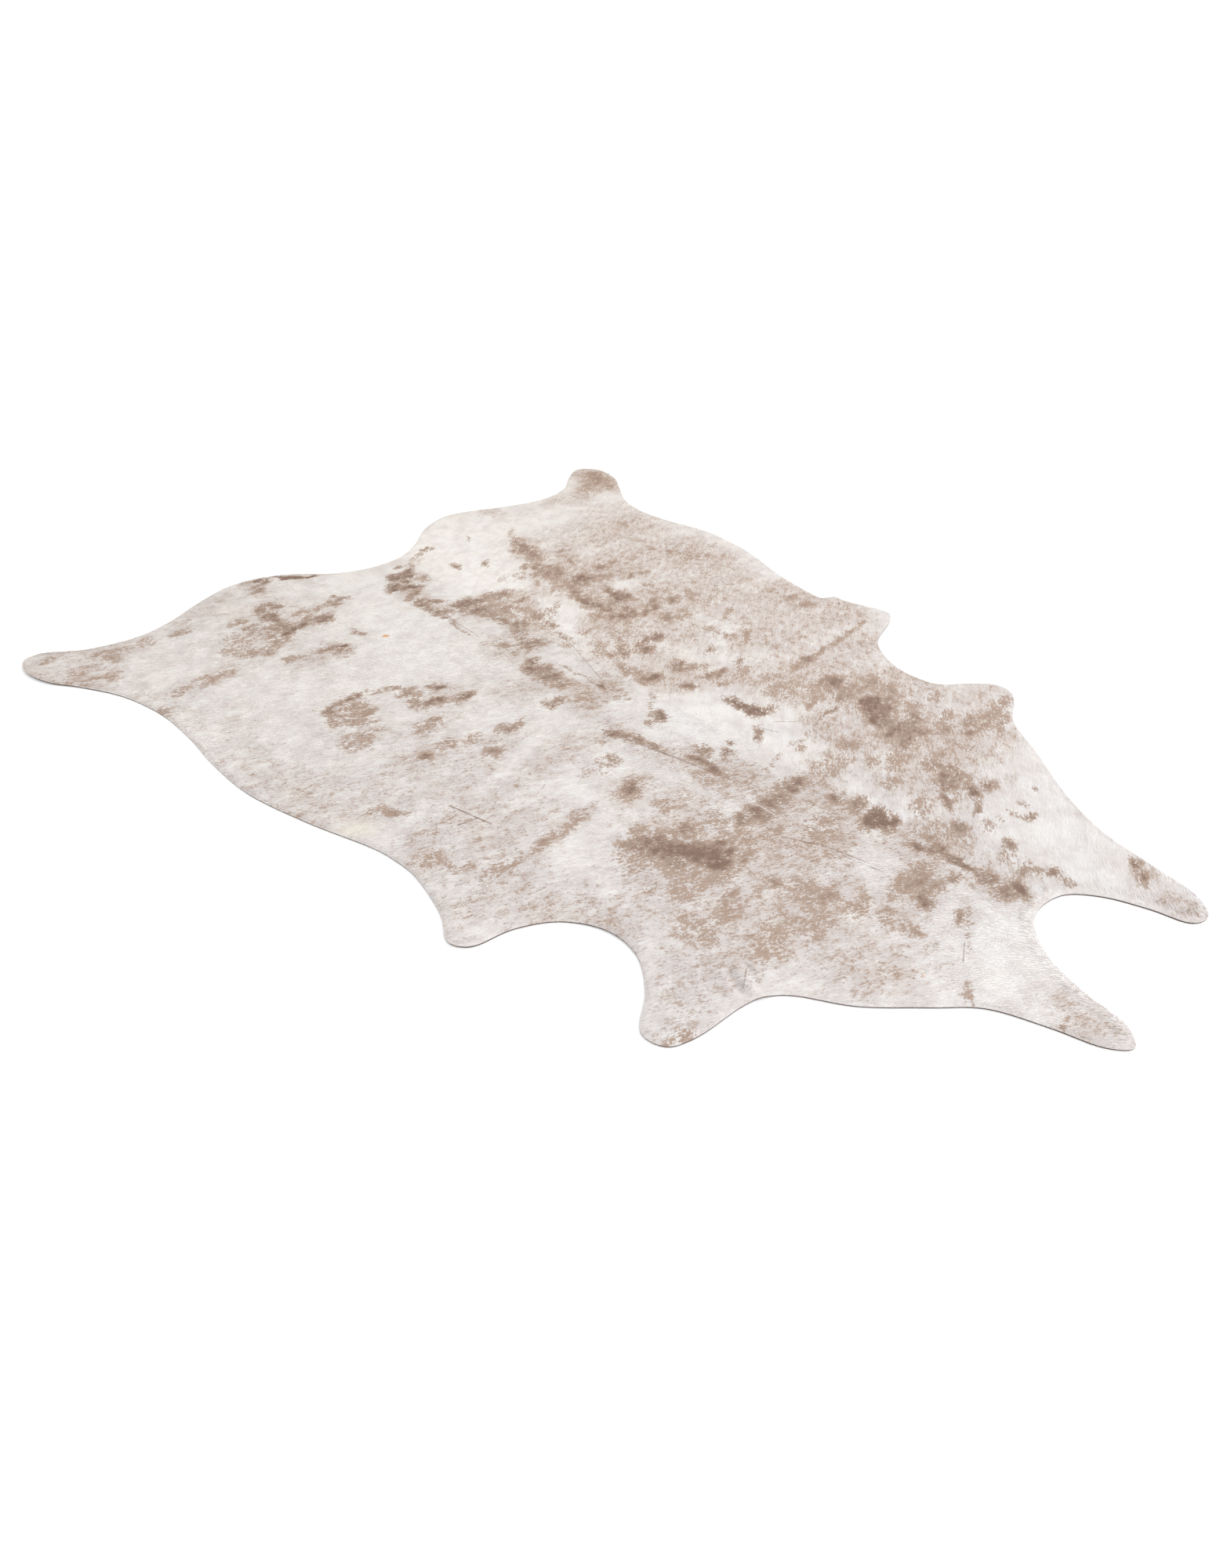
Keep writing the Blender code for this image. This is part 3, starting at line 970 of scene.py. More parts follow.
RIGHT_FORE_WASH = (
    (500, -290, 80, 40, 0, 0.75),
    (440, -430, 60, 90, 0, 0.6),
    (300, 430, 90, 60, 0, 0.75),
    (230, 220, 80, 80, 0, 0.75),
    (100, 460, 60, 50, 0, 0.6),
    (250, 50, 70, 60, 0, 0.6),
    (150, -1060, 25, 30, 0, 0.7),
    (620, 150, 60, 40, 30, 0.45),
    (500, 110, 70, 50, 0, 0.52),
    (560, 20, 100, 50, 0, 0.72),
    (580, -60, 70, 50, 0, 0.85),
    (500, -50, 80, 40, 0, 0.6),
    (520, -150, 130, 50, 0, 0.62),
    (400, -150, 60, 40, 20, 0.62),
    (350, -155, 26, 34, 0, 0.8),
    (430, -235, 120, 22, 0, 0.62),
    (620, -170, 60, 34, 0, 0.5),
    (300, -190, 70, 40, 0, 0.52),
    (240, -240, 90, 50, 0, 0.6),
    (420, 60, 70, 50, 20, 0.42),
    (440, -20, 70, 50, 0, 0.52),
    (330, 140, 50, 50, 0, 0.42),
    (170, 130, 80, 50, 10, 0.36),
    (100, 180, 60, 40, 0, 0.4),
    (30, 80, 40, 100, 20, 0.4),
    (310, -440, 90, 120, 0, 0.72),
    (370, -400, 50, 70, 0, 0.72),
    (240, -540, 60, 40, 0, 0.6),
    (360, -530, 60, 34, 0, 0.5),
    (400, -620, 100, 36, 0, 0.66),
    (470, -560, 60, 36, 0, 0.5),
    (520, -600, 40, 40, 0, 0.5),
    (180, -660, 70, 60, 0, 0.72),
    (200, -600, 60, 40, 0, 0.5),
    (220, -730, 50, 20, -20, 0.62),
    (150, -540, 60, 40, 0, 0.32),
    (180, 100, 70, 30, 0, 0.45),
    (140, -90, 60, 60, 0, 0.32),
    (50, 0, 34, 60, 10, 0.45),
    (310, 140, 80, 40, 0, 0.8),
    (430, 140, 70, 50, 40, 0.75),
    (120, 30, 50, 40, 0, 0.6),
    (80, -70, 50, 50, 0, 0.7),
    (130, -140, 50, 40, 0, 0.75),
    (190, -170, 50, 40, 0, 0.75),
    (350, -80, 90, 40, 0, 0.72),
    (620, -180, 50, 60, 0, 0.75),
    (290, -240, 90, 30, 0, 0.72),
    (350, -290, 60, 30, 0, 0.85),
    (240, -320, 60, 30, 0, 0.8),
    (160, -400, 50, 50, 0, 0.8),
    (170, -480, 60, 40, 0, 0.8),
    (0, -480, 80, 40, 0, 0.65),
    (30, -720, 60, 50, 0, 0.9),
    (240, -560, 60, 30, 0, 0.9),
    (290, -630, 50, 60, 0, 0.9),
    (370, -680, 60, 30, 0, 0.7),
    (100, -600, 50, 50, 0, 0.55),
    (10, -840, 60, 50, 0, 0.55),
    (180, -1000, 30, 30, 0, 0.7),
    (570, 130, 60, 30, 0, 0.65),
    (260, -550, 70, 30, 0, 0.95),
)
LEFT_HIND_WASH = (
    (-300, 270, 90, 60, -20, 0.36),
    (-510, 335, 70, 60, 0, 0.75),
    (-520, 260, 60, 60, 0, 0.52),
    (-450, 820, 70, 110, 0, 0.75),
    (-350, 780, 70, 50, 0, 0.62),
    (-390, 900, 50, 50, 0, 0.6),
    (-540, 780, 70, 70, 0, 0.52),
    (-500, 710, 60, 40, 0, 0.55),
    (-430, 600, 80, 40, 0, 0.48),
    (-670, 680, 90, 36, 0, 0.48),
    (-590, 940, 60, 36, 0, 0.55),
    (-560, 980, 60, 34, 0, 0.5),
    (-480, 1030, 60, 34, 0, 0.38),
    (-370, 1020, 36, 50, 0, 0.52),
    (-800, 960, 110, 50, -10, 0.68),
    (-860, 1010, 60, 60, 0, 0.62),
    (-800, 870, 40, 60, 0, 0.55),
    (-780, 770, 30, 60, 0, 0.42),
    (-740, 930, 70, 40, 0, 0.55),
    (-770, 620, 30, 50, 0, 0.55),
    (-730, 380, 70, 180, 0, 0.42),
    (-750, 570, 40, 70, 0, 0.55),
    (-660, 850, 90, 60, 0, 0.5),
    # Painted edge shade: this oval darkens the left hind foot's edge
    (-910, 950, 30, 80, 30, 0.9),
    (-100, 700, 40, 50, 0, 0.7),
    (-250, 800, 60, 30, 0, 0.5),
    (-100, 320, 50, 60, 0, 0.5),
    (-20, 300, 60, 60, 0, 0.5),
    # Painted edge shade along the left hind foot's near edge
    (-870, 900, 90, 30, -60, 0.95),
    (-100, 600, 25, 100, 0, 0.55),
)
LEFT_FORE_WASH = (
    (-500, -170, 110, 50, 0, 0.55),
    (-480, 0, 90, 35, 0, 0.5),
    (-550, -340, 60, 50, 0, 0.6),
    (-110, 150, 34, 80, 0, 0.6),
    (-340, -390, 90, 80, -20, 0.82),
    (-320, -480, 100, 50, 0, 0.72),
    (-400, -480, 70, 60, 0, 0.5),
    (-340, -555, 70, 36, 0, 0.72),
    (-280, -640, 110, 50, -10, 0.82),
    (-370, -640, 60, 50, 0, 0.62),
    (-230, -660, 50, 30, -20, 0.85),
    (-260, -570, 26, 40, 0, 0.7),
    (-450, -600, 90, 50, 0, 0.4),
    (-550, -620, 60, 34, 0, 0.42),
    (-110, -745, 70, 40, 0, 0.75),
    (-195, -745, 30, 60, 0, 0.55),
    (-280, -720, 70, 30, 0, 0.42),
    (-120, -830, 50, 20, 15, 0.4),
    (-150, -470, 80, 34, 0, 0.6),
    (-240, -480, 60, 40, 0, 0.5),
    (-260, -245, 50, 40, 0, 0.6),
    (-150, -140, 26, 70, -12, 0.5),
    (-100, -300, 40, 60, 0, 0.45),
    (-400, 190, 80, 34, 0, 0.42),
    (-450, 110, 60, 34, 0, 0.46),
    (-350, 40, 70, 40, 0, 0.4),
    (-610, 30, 36, 50, 30, 0.5),
    (-625, -130, 34, 30, 0, 0.72),
    (-500, -235, 120, 20, 0, 0.45),
    (-400, -232, 60, 18, 0, 0.56),
    (-100, -370, 50, 70, 0, 0.75),
    (-180, -530, 60, 60, 0, 0.85),
    (-120, -590, 70, 40, 0, 0.9),
    (-30, -550, 40, 50, 0, 0.85),
    (-30, -680, 40, 40, 0, 0.7),
    (-300, -770, 90, 50, -45, 0.6),
    # Partly painted shade: the darker edge of the lifted left cove, partly the hair's tan
    (-500, -430, 30, 60, 0, 0.75),
    (-460, -580, 100, 60, 0, 0.55),
    (-600, -250, 100, 60, 0, 0.5),
    (-550, -80, 130, 40, 0, 0.52),
    (-260, -80, 130, 40, 0, 0.48),
    (-680, 150, 80, 120, 0, 0.48),
    (-120, 20, 40, 50, 0, 0.85),
    (-40, 20, 40, 50, 0, 0.72),
    (-170, -1020, 30, 60, 0, 0.55),
    (-130, -250, 40, 40, 0, 0.6),
    (-200, 150, 50, 50, 0, 0.45),
    (-110, -490, 60, 30, 0, 0.8),
    (-220, -350, 50, 50, 0, 0.6),
    (-500, 100, 100, 60, 0, 0.45),
)
CLEAN_WHITE = (
    (-680, 850, 150, 90, 25, 0.6),
    (-520, 760, 110, 60, -20, 0.5),
    (-420, 890, 70, 60, 0, 0.5),
    (-880, 980, 80, 60, -30, 0.5),
    (-380, 800, 60, 60, 0, 0.4),
    (-740, 500, 45, 160, 0, 0.5),
    (-480, 330, 110, 60, 0, 0.35),
    (600, 700, 130, 60, 10, 0.35),
    (-220, 580, 85, 250, -8, 1.0),
    (-170, 860, 90, 80, 0, 1.0),
    (90, 660, 110, 90, 20, 0.85),
    (210, 900, 160, 120, 0, 0.85),
    (20, -205, 95, 80, 0, 1.0),
    (-120, -910, 70, 60, 0, 0.8),
    (170, -870, 110, 70, 70, 0.7),
    (-270, 420, 120, 50, 0, 0.6),
    (480, 830, 100, 60, 0, 0.5),
    (100, 360, 90, 30, 60, 0.7),
    (70, -370, 70, 30, 0, 0.6),
    (-450, 830, 90, 90, 0, 0.45),
    (-520, 330, 60, 60, 0, 0.4),
    (-380, -350, 50, 50, 0, 0.4),
    (610, 310, 40, 40, 0, 0.35),
    (330, 340, 40, 30, 0, 0.7),
)


# Each mark's rim is blended and moved about a little, then broken up in the material.
BRINDLE_RIM = 0.62
WASH_RIM = 0.75
THIN_HAIR = 0.16
MAP_STEP = 0.003
RIM_WANDERS = ((0.050, 0.006, 11), (0.022, 0.005, 13), (0.010, 0.003, 15))
MOST_WANDER = sum(reach for _, reach, _ in RIM_WANDERS)

map_low = cut_line.min(axis=0) - 2.0 * MAP_STEP
map_counts = ((cut_line.max(axis=0) - map_low) / MAP_STEP).astype(int) + 3
map_axes = [low + MAP_STEP * np.arange(count) for low, count in zip(map_low, map_counts)]
map_places = np.stack(np.meshgrid(*map_axes, indexing="ij"), axis=-1).reshape(-1, 2)
wandered = map_places.copy()
for size, reach, seed in RIM_WANDERS:
    wandered[:, 0] += reach * soft_noise(wandered, size, seed)
    wandered[:, 1] += reach * soft_noise(wandered, size, seed + 1)
wandered = wandered.reshape(*map_counts, 2)


# The marks were placed as they show against the floor, which the hair's top stands above
HAIR_LEVEL = 0.006
LENS_OVER = np.array(CAMERA_PLACE[:2])


def on_the_hair(across, along):
    """Return the place on the hair, in metres, of a mark seen there against the floor."""
    seen = np.array((across, along)) * MM
    return seen + (LENS_OVER - seen) * HAIR_LEVEL / CAMERA_PLACE[2]


def marked(rows, rim):
    """Return the marks' joint depth all over the hide, the bare white ones laid on last."""
    depth = np.zeros(map_counts)
    patches = [Patch(*row) for row in rows]
    for patch in sorted(patches, key=lambda patch: patch.depth < 0.0):
        middle = on_the_hair(patch.across, patch.along)
        half_long = patch.half_long * MM
        half_wide = patch.half_wide * MM
        reach = (1.0 + rim) * max(half_long, half_wide) + MOST_WANDER
        first = np.maximum((middle - reach - map_low) / MAP_STEP, 0).astype(int)
        last = np.maximum((middle + reach - map_low) / MAP_STEP, 0).astype(int) + 2
        window = (slice(first[0], last[0]), slice(first[1], last[1]))
        offset = wandered[window] - middle
        turn = math.radians(patch.turn)
        lengthways = (offset @ (math.cos(turn), math.sin(turn))) / half_long
        sideways = (offset @ (-math.sin(turn), math.cos(turn))) / half_wide
        out = np.hypot(lengthways, sideways)
        share = soft_bump(np.maximum(out - (1.0 - rim), 0.0), 2.0 * rim)
        if patch.depth < 0.0:
            depth[window] *= 1.0 + share * patch.depth
        else:
            depth[window] += share * np.maximum(patch.depth - depth[window], 0.0)
    return depth


def read_map(values, points):
    """Return the map's value at each point, blended between the four nearest places."""
    place = np.clip((points - map_low) / MAP_STEP, 0.0, map_counts - 1.001)
    cell = place.astype(int)
    share = place - cell
    column, row = cell[:, 0], cell[:, 1]
    low = values[column, row] * (1 - share[:, 0]) + values[column + 1, row] * share[:, 0]
    high = values[column, row + 1] * (1 - share[:, 0]) + values[column + 1, row + 1] * share[:, 0]
    return low * (1 - share[:, 1]) + high * share[:, 1]


brown_map = marked(
    TAIL_ROOT
    + SPINE
    + RIGHT_BAND
    + RIGHT_SADDLE
    + RIGHT_SHOULDER
    + NECK
    + LEFT_SHOULDER
    + LEFT_FLANK
    + LEFT_RUMP
    + RIGHT_RUMP,
    BRINDLE_RIM,
)
wash_map = marked(RIGHT_HIND_WASH + RIGHT_FORE_WASH + LEFT_HIND_WASH + LEFT_FORE_WASH, WASH_RIM)
clean_map = marked(CLEAN_WHITE, WASH_RIM)
wash_map = (THIN_HAIR + (1.0 - THIN_HAIR) * wash_map) * (1.0 - clean_map)


def lay_angle(across):
    """Return the hair's turn away from the spine, which grows from the spine to the flank."""
    return FLANK_LAY + (SPINE_LAY - FLANK_LAY) * np.exp(-((across / LAY_TURN_WIDTH) ** 2))


def lay_direction(points):
    """Return the way the hair's tips point: back along the spine, and outward down the flanks."""
    turn = lay_angle(points[:, 0])
    side = np.where(points[:, 0] < 0.0, -1.0, 1.0)
    return np.column_stack((side * np.sin(turn), np.cos(turn), np.zeros(len(points))))


def store(mesh, name, kind, values):
    """Store one value, or one vector, for each of the mesh's vertices."""
    attribute = mesh.attributes.new(name, kind, "POINT")
    field = "vector" if kind == "FLOAT_VECTOR" else "value"
    attribute.data.foreach_set(field, np.asarray(values, np.float32).ravel())


def mesh_points(mesh):
    """Return the mesh's points as rows of three numbers."""
    places = np.zeros(len(mesh.vertices) * 3, np.float32)
    mesh.vertices.foreach_get("co", places)
    return places.reshape(-1, 3).astype(float)


SHOWN_SHARE = 0.845
STRIP_START = 0.86
STRIP_WIDTH = 0.13
WALL_UPWARD = 0.3
HIDDEN_HIGH = 0.48
WALL_LOW = 0.5
WALL_MIDDLE = 0.51


def bake_map(mesh, shown):
    """Give the mesh its own map for baked colours, seen from above.

    The shown side, 1 for the top and -1 for the underside, fills most of the map, and the
    hidden side and the walls share a strip beside it. With shown 0 every face is laid flat.
    """
    points = mesh_points(mesh)
    unit = (points - points.min(axis=0)) / np.ptp(points, axis=0)
    around = np.arctan2(points[:, 1], points[:, 0]) / math.tau + 0.5
    corner_point = np.zeros(len(mesh.loops), np.int32)
    mesh.loops.foreach_get("vertex_index", corner_point)
    sizes = np.zeros(len(mesh.polygons), np.int32)
    mesh.polygons.foreach_get("loop_total", sizes)
    normals = np.zeros(len(mesh.polygons) * 3, np.float32)
    mesh.polygons.foreach_get("normal", normals)
    upward = np.repeat(normals.reshape(-1, 3)[:, 2], sizes)
    first_around = np.repeat(around[corner_point[np.cumsum(sizes) - sizes]], sizes)
    across, along, high = unit[corner_point].T
    place = np.column_stack((across, along))
    if shown:
        place[:, 0] *= SHOWN_SHARE
        hidden = upward * shown < -WALL_UPWARD
        place[hidden, 0] = STRIP_START + STRIP_WIDTH * across[hidden]
        place[hidden, 1] = HIDDEN_HIGH * along[hidden]
        wall = np.abs(upward) <= WALL_UPWARD
        turn = around[corner_point]
        turn = turn - np.round(turn - first_around)
        place[wall, 0] = STRIP_START + STRIP_WIDTH * high[wall]
        place[wall, 1] = np.clip(WALL_MIDDLE + HIDDEN_HIGH * turn[wall], WALL_LOW, 1.0)
    baked = mesh.uv_layers.new(name="OFBake")
    baked.data.foreach_set("uv", place.astype(np.float32).ravel())


def store_markings(mesh):
    """Store the coat's markings at every point of one of its meshes."""
    points = mesh_points(mesh)[:, :2]
    store(mesh, "brown", "FLOAT", read_map(brown_map, points))
    store(mesh, "wash", "FLOAT", read_map(wash_map, points))


rim_depth = np.zeros(len(pile_mesh.vertices))
rim_depth[: len(depth_of_pile)] = depth_of_pile
store_markings(pile_mesh)
store(pile_mesh, "room", "FLOAT", rim_depth)
# Painted shade on the cut wall: 0 on the hair's top, 1 down the wall and below it
edge_shade_share = np.ones(len(pile_mesh.vertices))
edge_shade_share[: len(depth_of_pile)] = 0.0
store(pile_mesh, "cut", "FLOAT", edge_shade_share)
store(pile_mesh, "lay", "FLOAT_VECTOR", lay_direction(mesh_points(pile_mesh)))
store(pile_mesh, "lock", "FLOAT", np.full(len(pile_mesh.vertices), 0.5))


def stored_value(tree, name):
    """Return the socket that reads one of the coat's stored values."""
    return new_node(tree, "ShaderNodeAttribute", {"attribute_name": name}).outputs["Fac"]


def thin_mark_group():
    """Return the group for a thin mark: 1 on the line between two places, 0 off it."""
    group = bpy.data.node_groups.new("thin mark", "ShaderNodeTree")
    face = group.interface
    for name in ("Place", "From", "Run"):
        face.new_socket(name=name, in_out="INPUT", socket_type="NodeSocketVector")
    for name in ("Run squared", "Half width"):
        face.new_socket(name=name, in_out="INPUT", socket_type="NodeSocketFloat")
    face.new_socket(name="Mark", in_out="OUTPUT", socket_type="NodeSocketFloat")
    given = group.nodes.new("NodeGroupInput").outputs
    offset = vector_node(group, "SUBTRACT", _0=given["Place"], _1=given["From"]).outputs[0]
    dot = vector_node(group, "DOT_PRODUCT", _0=offset, _1=given["Run"]).outputs["Value"]
    share = math_node(group, "DIVIDE", dot, given["Run squared"], clamp=True)
    nearest = vector_node(group, "SCALE", _0=given["Run"], Scale=share).outputs[0]
    gap = vector_node(group, "DISTANCE", _0=offset, _1=nearest).outputs["Value"]
    mark = new_node(
        group,
        "ShaderNodeMapRange",
        {"interpolation_type": "SMOOTHSTEP"},
        Value=gap,
        From_Min=given["Half width"],
        From_Max=0.0,
    )
    made = group.nodes.new("NodeGroupOutput")
    group.links.new(mark.outputs[0], made.inputs["Mark"])
    return group


thin_mark = thin_mark_group()


def on_the_line(tree, place, start, end, half_width):
    """Return the socket that is 1 on the line between two places on the rug, 0 off it."""
    run = np.array((*end, 0.0)) - np.array((*start, 0.0))
    node = tree.nodes.new("ShaderNodeGroup")
    node.node_tree = thin_mark
    tree.links.new(place, node.inputs["Place"])
    node.inputs["From"].default_value = (*start, 0.0)
    node.inputs["Run"].default_value = run
    node.inputs["Run squared"].default_value = run @ run
    node.inputs["Half width"].default_value = half_width
    return node.outputs["Mark"]


SCRATCH = shade(146, 126, 114)
LINE = shade(152, 128, 114)
SCAR = shade(246, 243, 240)
RUST = shade(230, 162, 84)
CREAM = shade(243, 236, 222)

# Old scratches, thin brown lines, a healed scar and rust-coloured specks, in millimetres
Mark = namedtuple("Mark", "from_across from_along to_across to_along half_width cover colour")
THIN_MARKS = (
    Mark(-523, -43, -500, -133, 2.6, 1.00, SCRATCH),
    Mark(-543, -93, -507, -105, 2.8, 1.00, SCRATCH),
    Mark(-583, -83, -570, -67, 1.6, 0.50, SCRATCH),
    Mark(-557, 397, -540, 370, 1.6, 0.50, SCRATCH),
    Mark(-374, -128, -363, -122, 1.6, 0.60, SCRATCH),
    Mark(-317, -97, -300, -117, 1.6, 0.50, SCRATCH),
    Mark(63, -305, 78, -343, 1.8, 0.75, SCRATCH),
    Mark(103, -317, 132, -348, 1.8, 0.75, SCRATCH),
    Mark(-132, -620, -118, -690, 2.0, 0.55, SCRATCH),
    Mark(-195, -862, -160, -848, 2.0, 0.60, SCRATCH),
    Mark(-429, -639, -461, -657, 2.4, 0.40, SCRATCH),
    Mark(-167, -81, -136, -222, 5.0, 0.65, LINE),
    Mark(-136, -222, -107, -366, 5.0, 0.65, LINE),
    Mark(-172, -512, -135, -584, 2.8, 0.65, LINE),
    Mark(-135, -584, -116, -663, 2.8, 0.60, LINE),
    Mark(62, 355, 10, 179, 2.6, 0.50, LINE),
    Mark(10, 179, -52, 8, 2.6, 0.45, LINE),
    Mark(-107, 528, -111, 397, 3.2, 0.50, LINE),
    Mark(35, 450, 24, 428, 2.6, 0.95, SCAR),
    Mark(24, 428, 34, 398, 2.6, 0.95, SCAR),
    Mark(-129, -430, -129, -480, 1.8, 0.70, SCAR),
    Mark(-269, 564, -266, 558, 9.0, 1.00, RUST),
    Mark(-260, -832, -259, -831, 3.5, 0.60, RUST),
    Mark(-678, 32, -664, 18, 42.0, 0.60, CREAM),
)


def along_the_lay(tree, place):
    """Return the place turned so that its first number runs along the hair, on both sides."""
    apart = new_node(tree, "ShaderNodeSeparateXYZ", Vector=place)
    out = math_node(tree, "ABSOLUTE", apart.outputs["X"])
    folded = new_node(tree, "ShaderNodeCombineXYZ", X=out, Y=apart.outputs["Y"])
    turn = (0.0, 0.0, MEAN_LAY - math.radians(90.0))
    return new_node(tree, "ShaderNodeMapping", Vector=folded.outputs[0], Rotation=turn).outputs[0]


COAT_ROUGHNESS = 0.75
WHITE_HAIR = shade(242, 238, 235)
SHADED_HAIR = shade(221, 213, 210)
TAN_HAIR = shade(202, 183, 169)
GREY_HAIR = shade(203, 192, 187)
BROWN_HAIR = shade(183, 160, 144)
DARK_HAIR = shade(138, 112, 97)

# How thickly brown hair stands in the marks, and how much the noise frays and thins it
BROWN_DENSITY = 0.88
WASH_DENSITY = 0.42
LOOSE_DENSITY = 0.55
LEAST_FRAY = 0.05
RIM_FRAY = 0.6
FLECK_FRAY = 0.65
BARE_BELOW = 0.185
COVERED_ABOVE = 0.89
MOST_COVER = 0.97
TUFTS_FROM = 0.7
TUFTS_TO = 2.2
TUFT_FRAY = 1.1
LEAST_TUFTS = 0.15
DEPTH_UNEVEN = 0.2
BROWN_DEPTH = 0.75
DARK_DEPTH = 1.6

# How evenly the tan wash covers, and where across the hide it turns greyer, to the left
TAN_COVER = 0.55
TAN_EVEN = 0.85
TAN_STREAKS = 0.22
TAN_MOTTLE = 0.15
GREYER_FROM = -0.22
GREYEST_AT = -0.50
GREYEST = 0.75

# How much the white ground is shaded at least, and what each noise adds to that
LEAST_SHADING = 0.2
LILAC_SHADING = 0.13
CLOUD_SHADING = 0.12
STREAK_SHADING = 0.07
FLECK_SHADING = 0.08
MARK_EVEN = 0.9
MARK_WEAR = 0.3

# Painted shade along the knife's cut, darkest as a painted shadow under the lifted left hind foot
PAINTED_EDGE_SHADE = shade(118, 102, 93)
PAINTED_FOOT_SHADOW = shade(70, 60, 54)
EDGE_SHADE_COVER = 0.9
FOOT_TIP = (-0.935, 0.955)
FOOT_HEEL = (-0.840, 0.800)
FOOT_SHADE_HALF_WIDTH = 0.045

# The coat is a warmer tone towards the rump and greyer towards the neck, unevenly
WARMER_PER_METRE = (0.05, 0.32, 0.0)
WARMTH_AT_MIDDLE = 0.35
WARMTH_UNEVEN = 0.14
NECK_TONE = (0.988, 1.0, 1.015, 1.0)
RUMP_TONE = (1.02, 1.0, 0.955, 1.0)
STRAND_HEIGHT = 0.0004
STRAND_BUMP = 0.3


def coat_material():
    """Return the coat: off-white, tan and brown hair, broken up along the way the hair lies."""
    material = plain_material("hair", (1.0, 1.0, 1.0, 1.0), COAT_ROUGHNESS)
    tree = material.node_tree
    shader = tree.nodes["Principled BSDF"]
    place = tree.nodes.new("ShaderNodeTexCoord").outputs["Object"]
    lay = along_the_lay(tree, place)
    brown = stored_value(tree, "brown")
    wash = stored_value(tree, "wash")
    lock = stored_value(tree, "lock")
    mottle = grain(tree, place, (50.0, 50.0, 50.0), detail=5.0, roughness=0.86, strength=15.0)
    streak = grain(tree, lay, (28.0, 83.0, 1.0), detail=3.0, roughness=0.75, strength=13.0)
    fleck = grain(tree, lay, (130.0, 240.0, 1.0), detail=2.0, roughness=0.85, strength=12.0)
    tufts = grain(tree, lay, (90.0, 190.0, 1.0), detail=2.0, roughness=0.75, strength=13.0)
    strand = grain(tree, lay, (55.0, 620.0, 1.0), detail=1.0, roughness=0.5, strength=5.0)
    cloud = grain(tree, place, (14.0, 14.0, 14.0), detail=3.0, roughness=0.6, strength=11.6)
    tone = grain(tree, place, (9.0, 9.0, 9.0), detail=5.0, roughness=0.75, strength=12.0)
    lilac = grain(tree, place, (28.0, 28.0, 28.0), detail=4.0, roughness=0.7, strength=13.0)

    # Brown hairs stand thicker or thinner, so a mark's rim frays and its middle has gaps
    uneven = math_node(tree, "MULTIPLY_ADD", streak, 0.5, mottle)
    density = math_node(tree, "MULTIPLY", brown, BROWN_DENSITY)
    density = math_node(tree, "MULTIPLY_ADD", wash, WASH_DENSITY, density)
    loose = math_node(tree, "MINIMUM", density, LOOSE_DENSITY)
    fray = math_node(tree, "MULTIPLY_ADD", loose, RIM_FRAY, LEAST_FRAY)
    field = math_node(tree, "MULTIPLY_ADD", uneven, fray, density)
    fray = math_node(tree, "MULTIPLY", loose, FLECK_FRAY)
    field = math_node(tree, "MULTIPLY_ADD", fleck, fray, field)
    sparse = new_node(
        tree, "ShaderNodeMapRange", Value=tufts, From_Min=TUFTS_FROM, From_Max=TUFTS_TO
    )
    likely = math_node(tree, "MULTIPLY_ADD", density, TUFT_FRAY, LEAST_TUFTS)
    field = math_node(tree, "MULTIPLY_ADD", sparse.outputs[0], likely, field)
    covers = new_node(
        tree,
        "ShaderNodeMapRange",
        {"interpolation_type": "SMOOTHSTEP"},
        Value=field,
        From_Min=BARE_BELOW,
        From_Max=COVERED_ABOVE,
        To_Max=MOST_COVER,
    )
    thick = math_node(tree, "MULTIPLY_ADD", uneven, DEPTH_UNEVEN, 1.0)
    thick = math_node(tree, "MULTIPLY", brown, thick)
    deep = new_node(
        tree, "ShaderNodeMapRange", Value=thick, From_Min=BROWN_DEPTH, From_Max=DARK_DEPTH
    )
    tanned = math_node(tree, "MULTIPLY_ADD", streak, TAN_STREAKS, TAN_EVEN)
    tanned = math_node(tree, "MULTIPLY_ADD", uneven, TAN_MOTTLE, tanned)
    tanned = math_node(tree, "MULTIPLY", tanned, TAN_COVER)
    tanned = math_node(tree, "MULTIPLY", wash, tanned, clamp=True)
    shadowy = math_node(tree, "ADD", wash, LEAST_SHADING)
    for noise, strength in (
        (lilac, LILAC_SHADING),
        (cloud, CLOUD_SHADING),
        (streak, STREAK_SHADING),
        (fleck, FLECK_SHADING),
    ):
        shadowy = math_node(tree, "MULTIPLY_ADD", noise, strength, shadowy)

    across = new_node(tree, "ShaderNodeSeparateXYZ", Vector=place).outputs["X"]
    greyer = new_node(
        tree,
        "ShaderNodeMapRange",
        Value=across,
        From_Min=GREYER_FROM,
        From_Max=GREYEST_AT,
        To_Max=GREYEST,
    )
    ground = mixed(tree, shadowy, WHITE_HAIR, SHADED_HAIR)
    ground = mixed(tree, tanned, ground, mixed(tree, greyer.outputs[0], TAN_HAIR, GREY_HAIR))
    brindle = mixed(tree, deep.outputs[0], BROWN_HAIR, DARK_HAIR)
    colour = mixed(tree, covers.outputs[0], ground, brindle)

    flat = vector_node(tree, "MULTIPLY", _0=place, _1=(1.0, 1.0, 0.0)).outputs[0]
    worn = math_node(tree, "MULTIPLY_ADD", streak, MARK_WEAR, MARK_EVEN)
    for mark in THIN_MARKS:
        start = on_the_hair(mark.from_across, mark.from_along)
        end = on_the_hair(mark.to_across, mark.to_along)
        share = on_the_line(tree, flat, start, end, mark.half_width * MM)
        share = math_node(tree, "MULTIPLY", share, mark.cover)
        share = math_node(tree, "MULTIPLY", share, worn, clamp=True)
        colour = mixed(tree, share, colour, mark.colour)
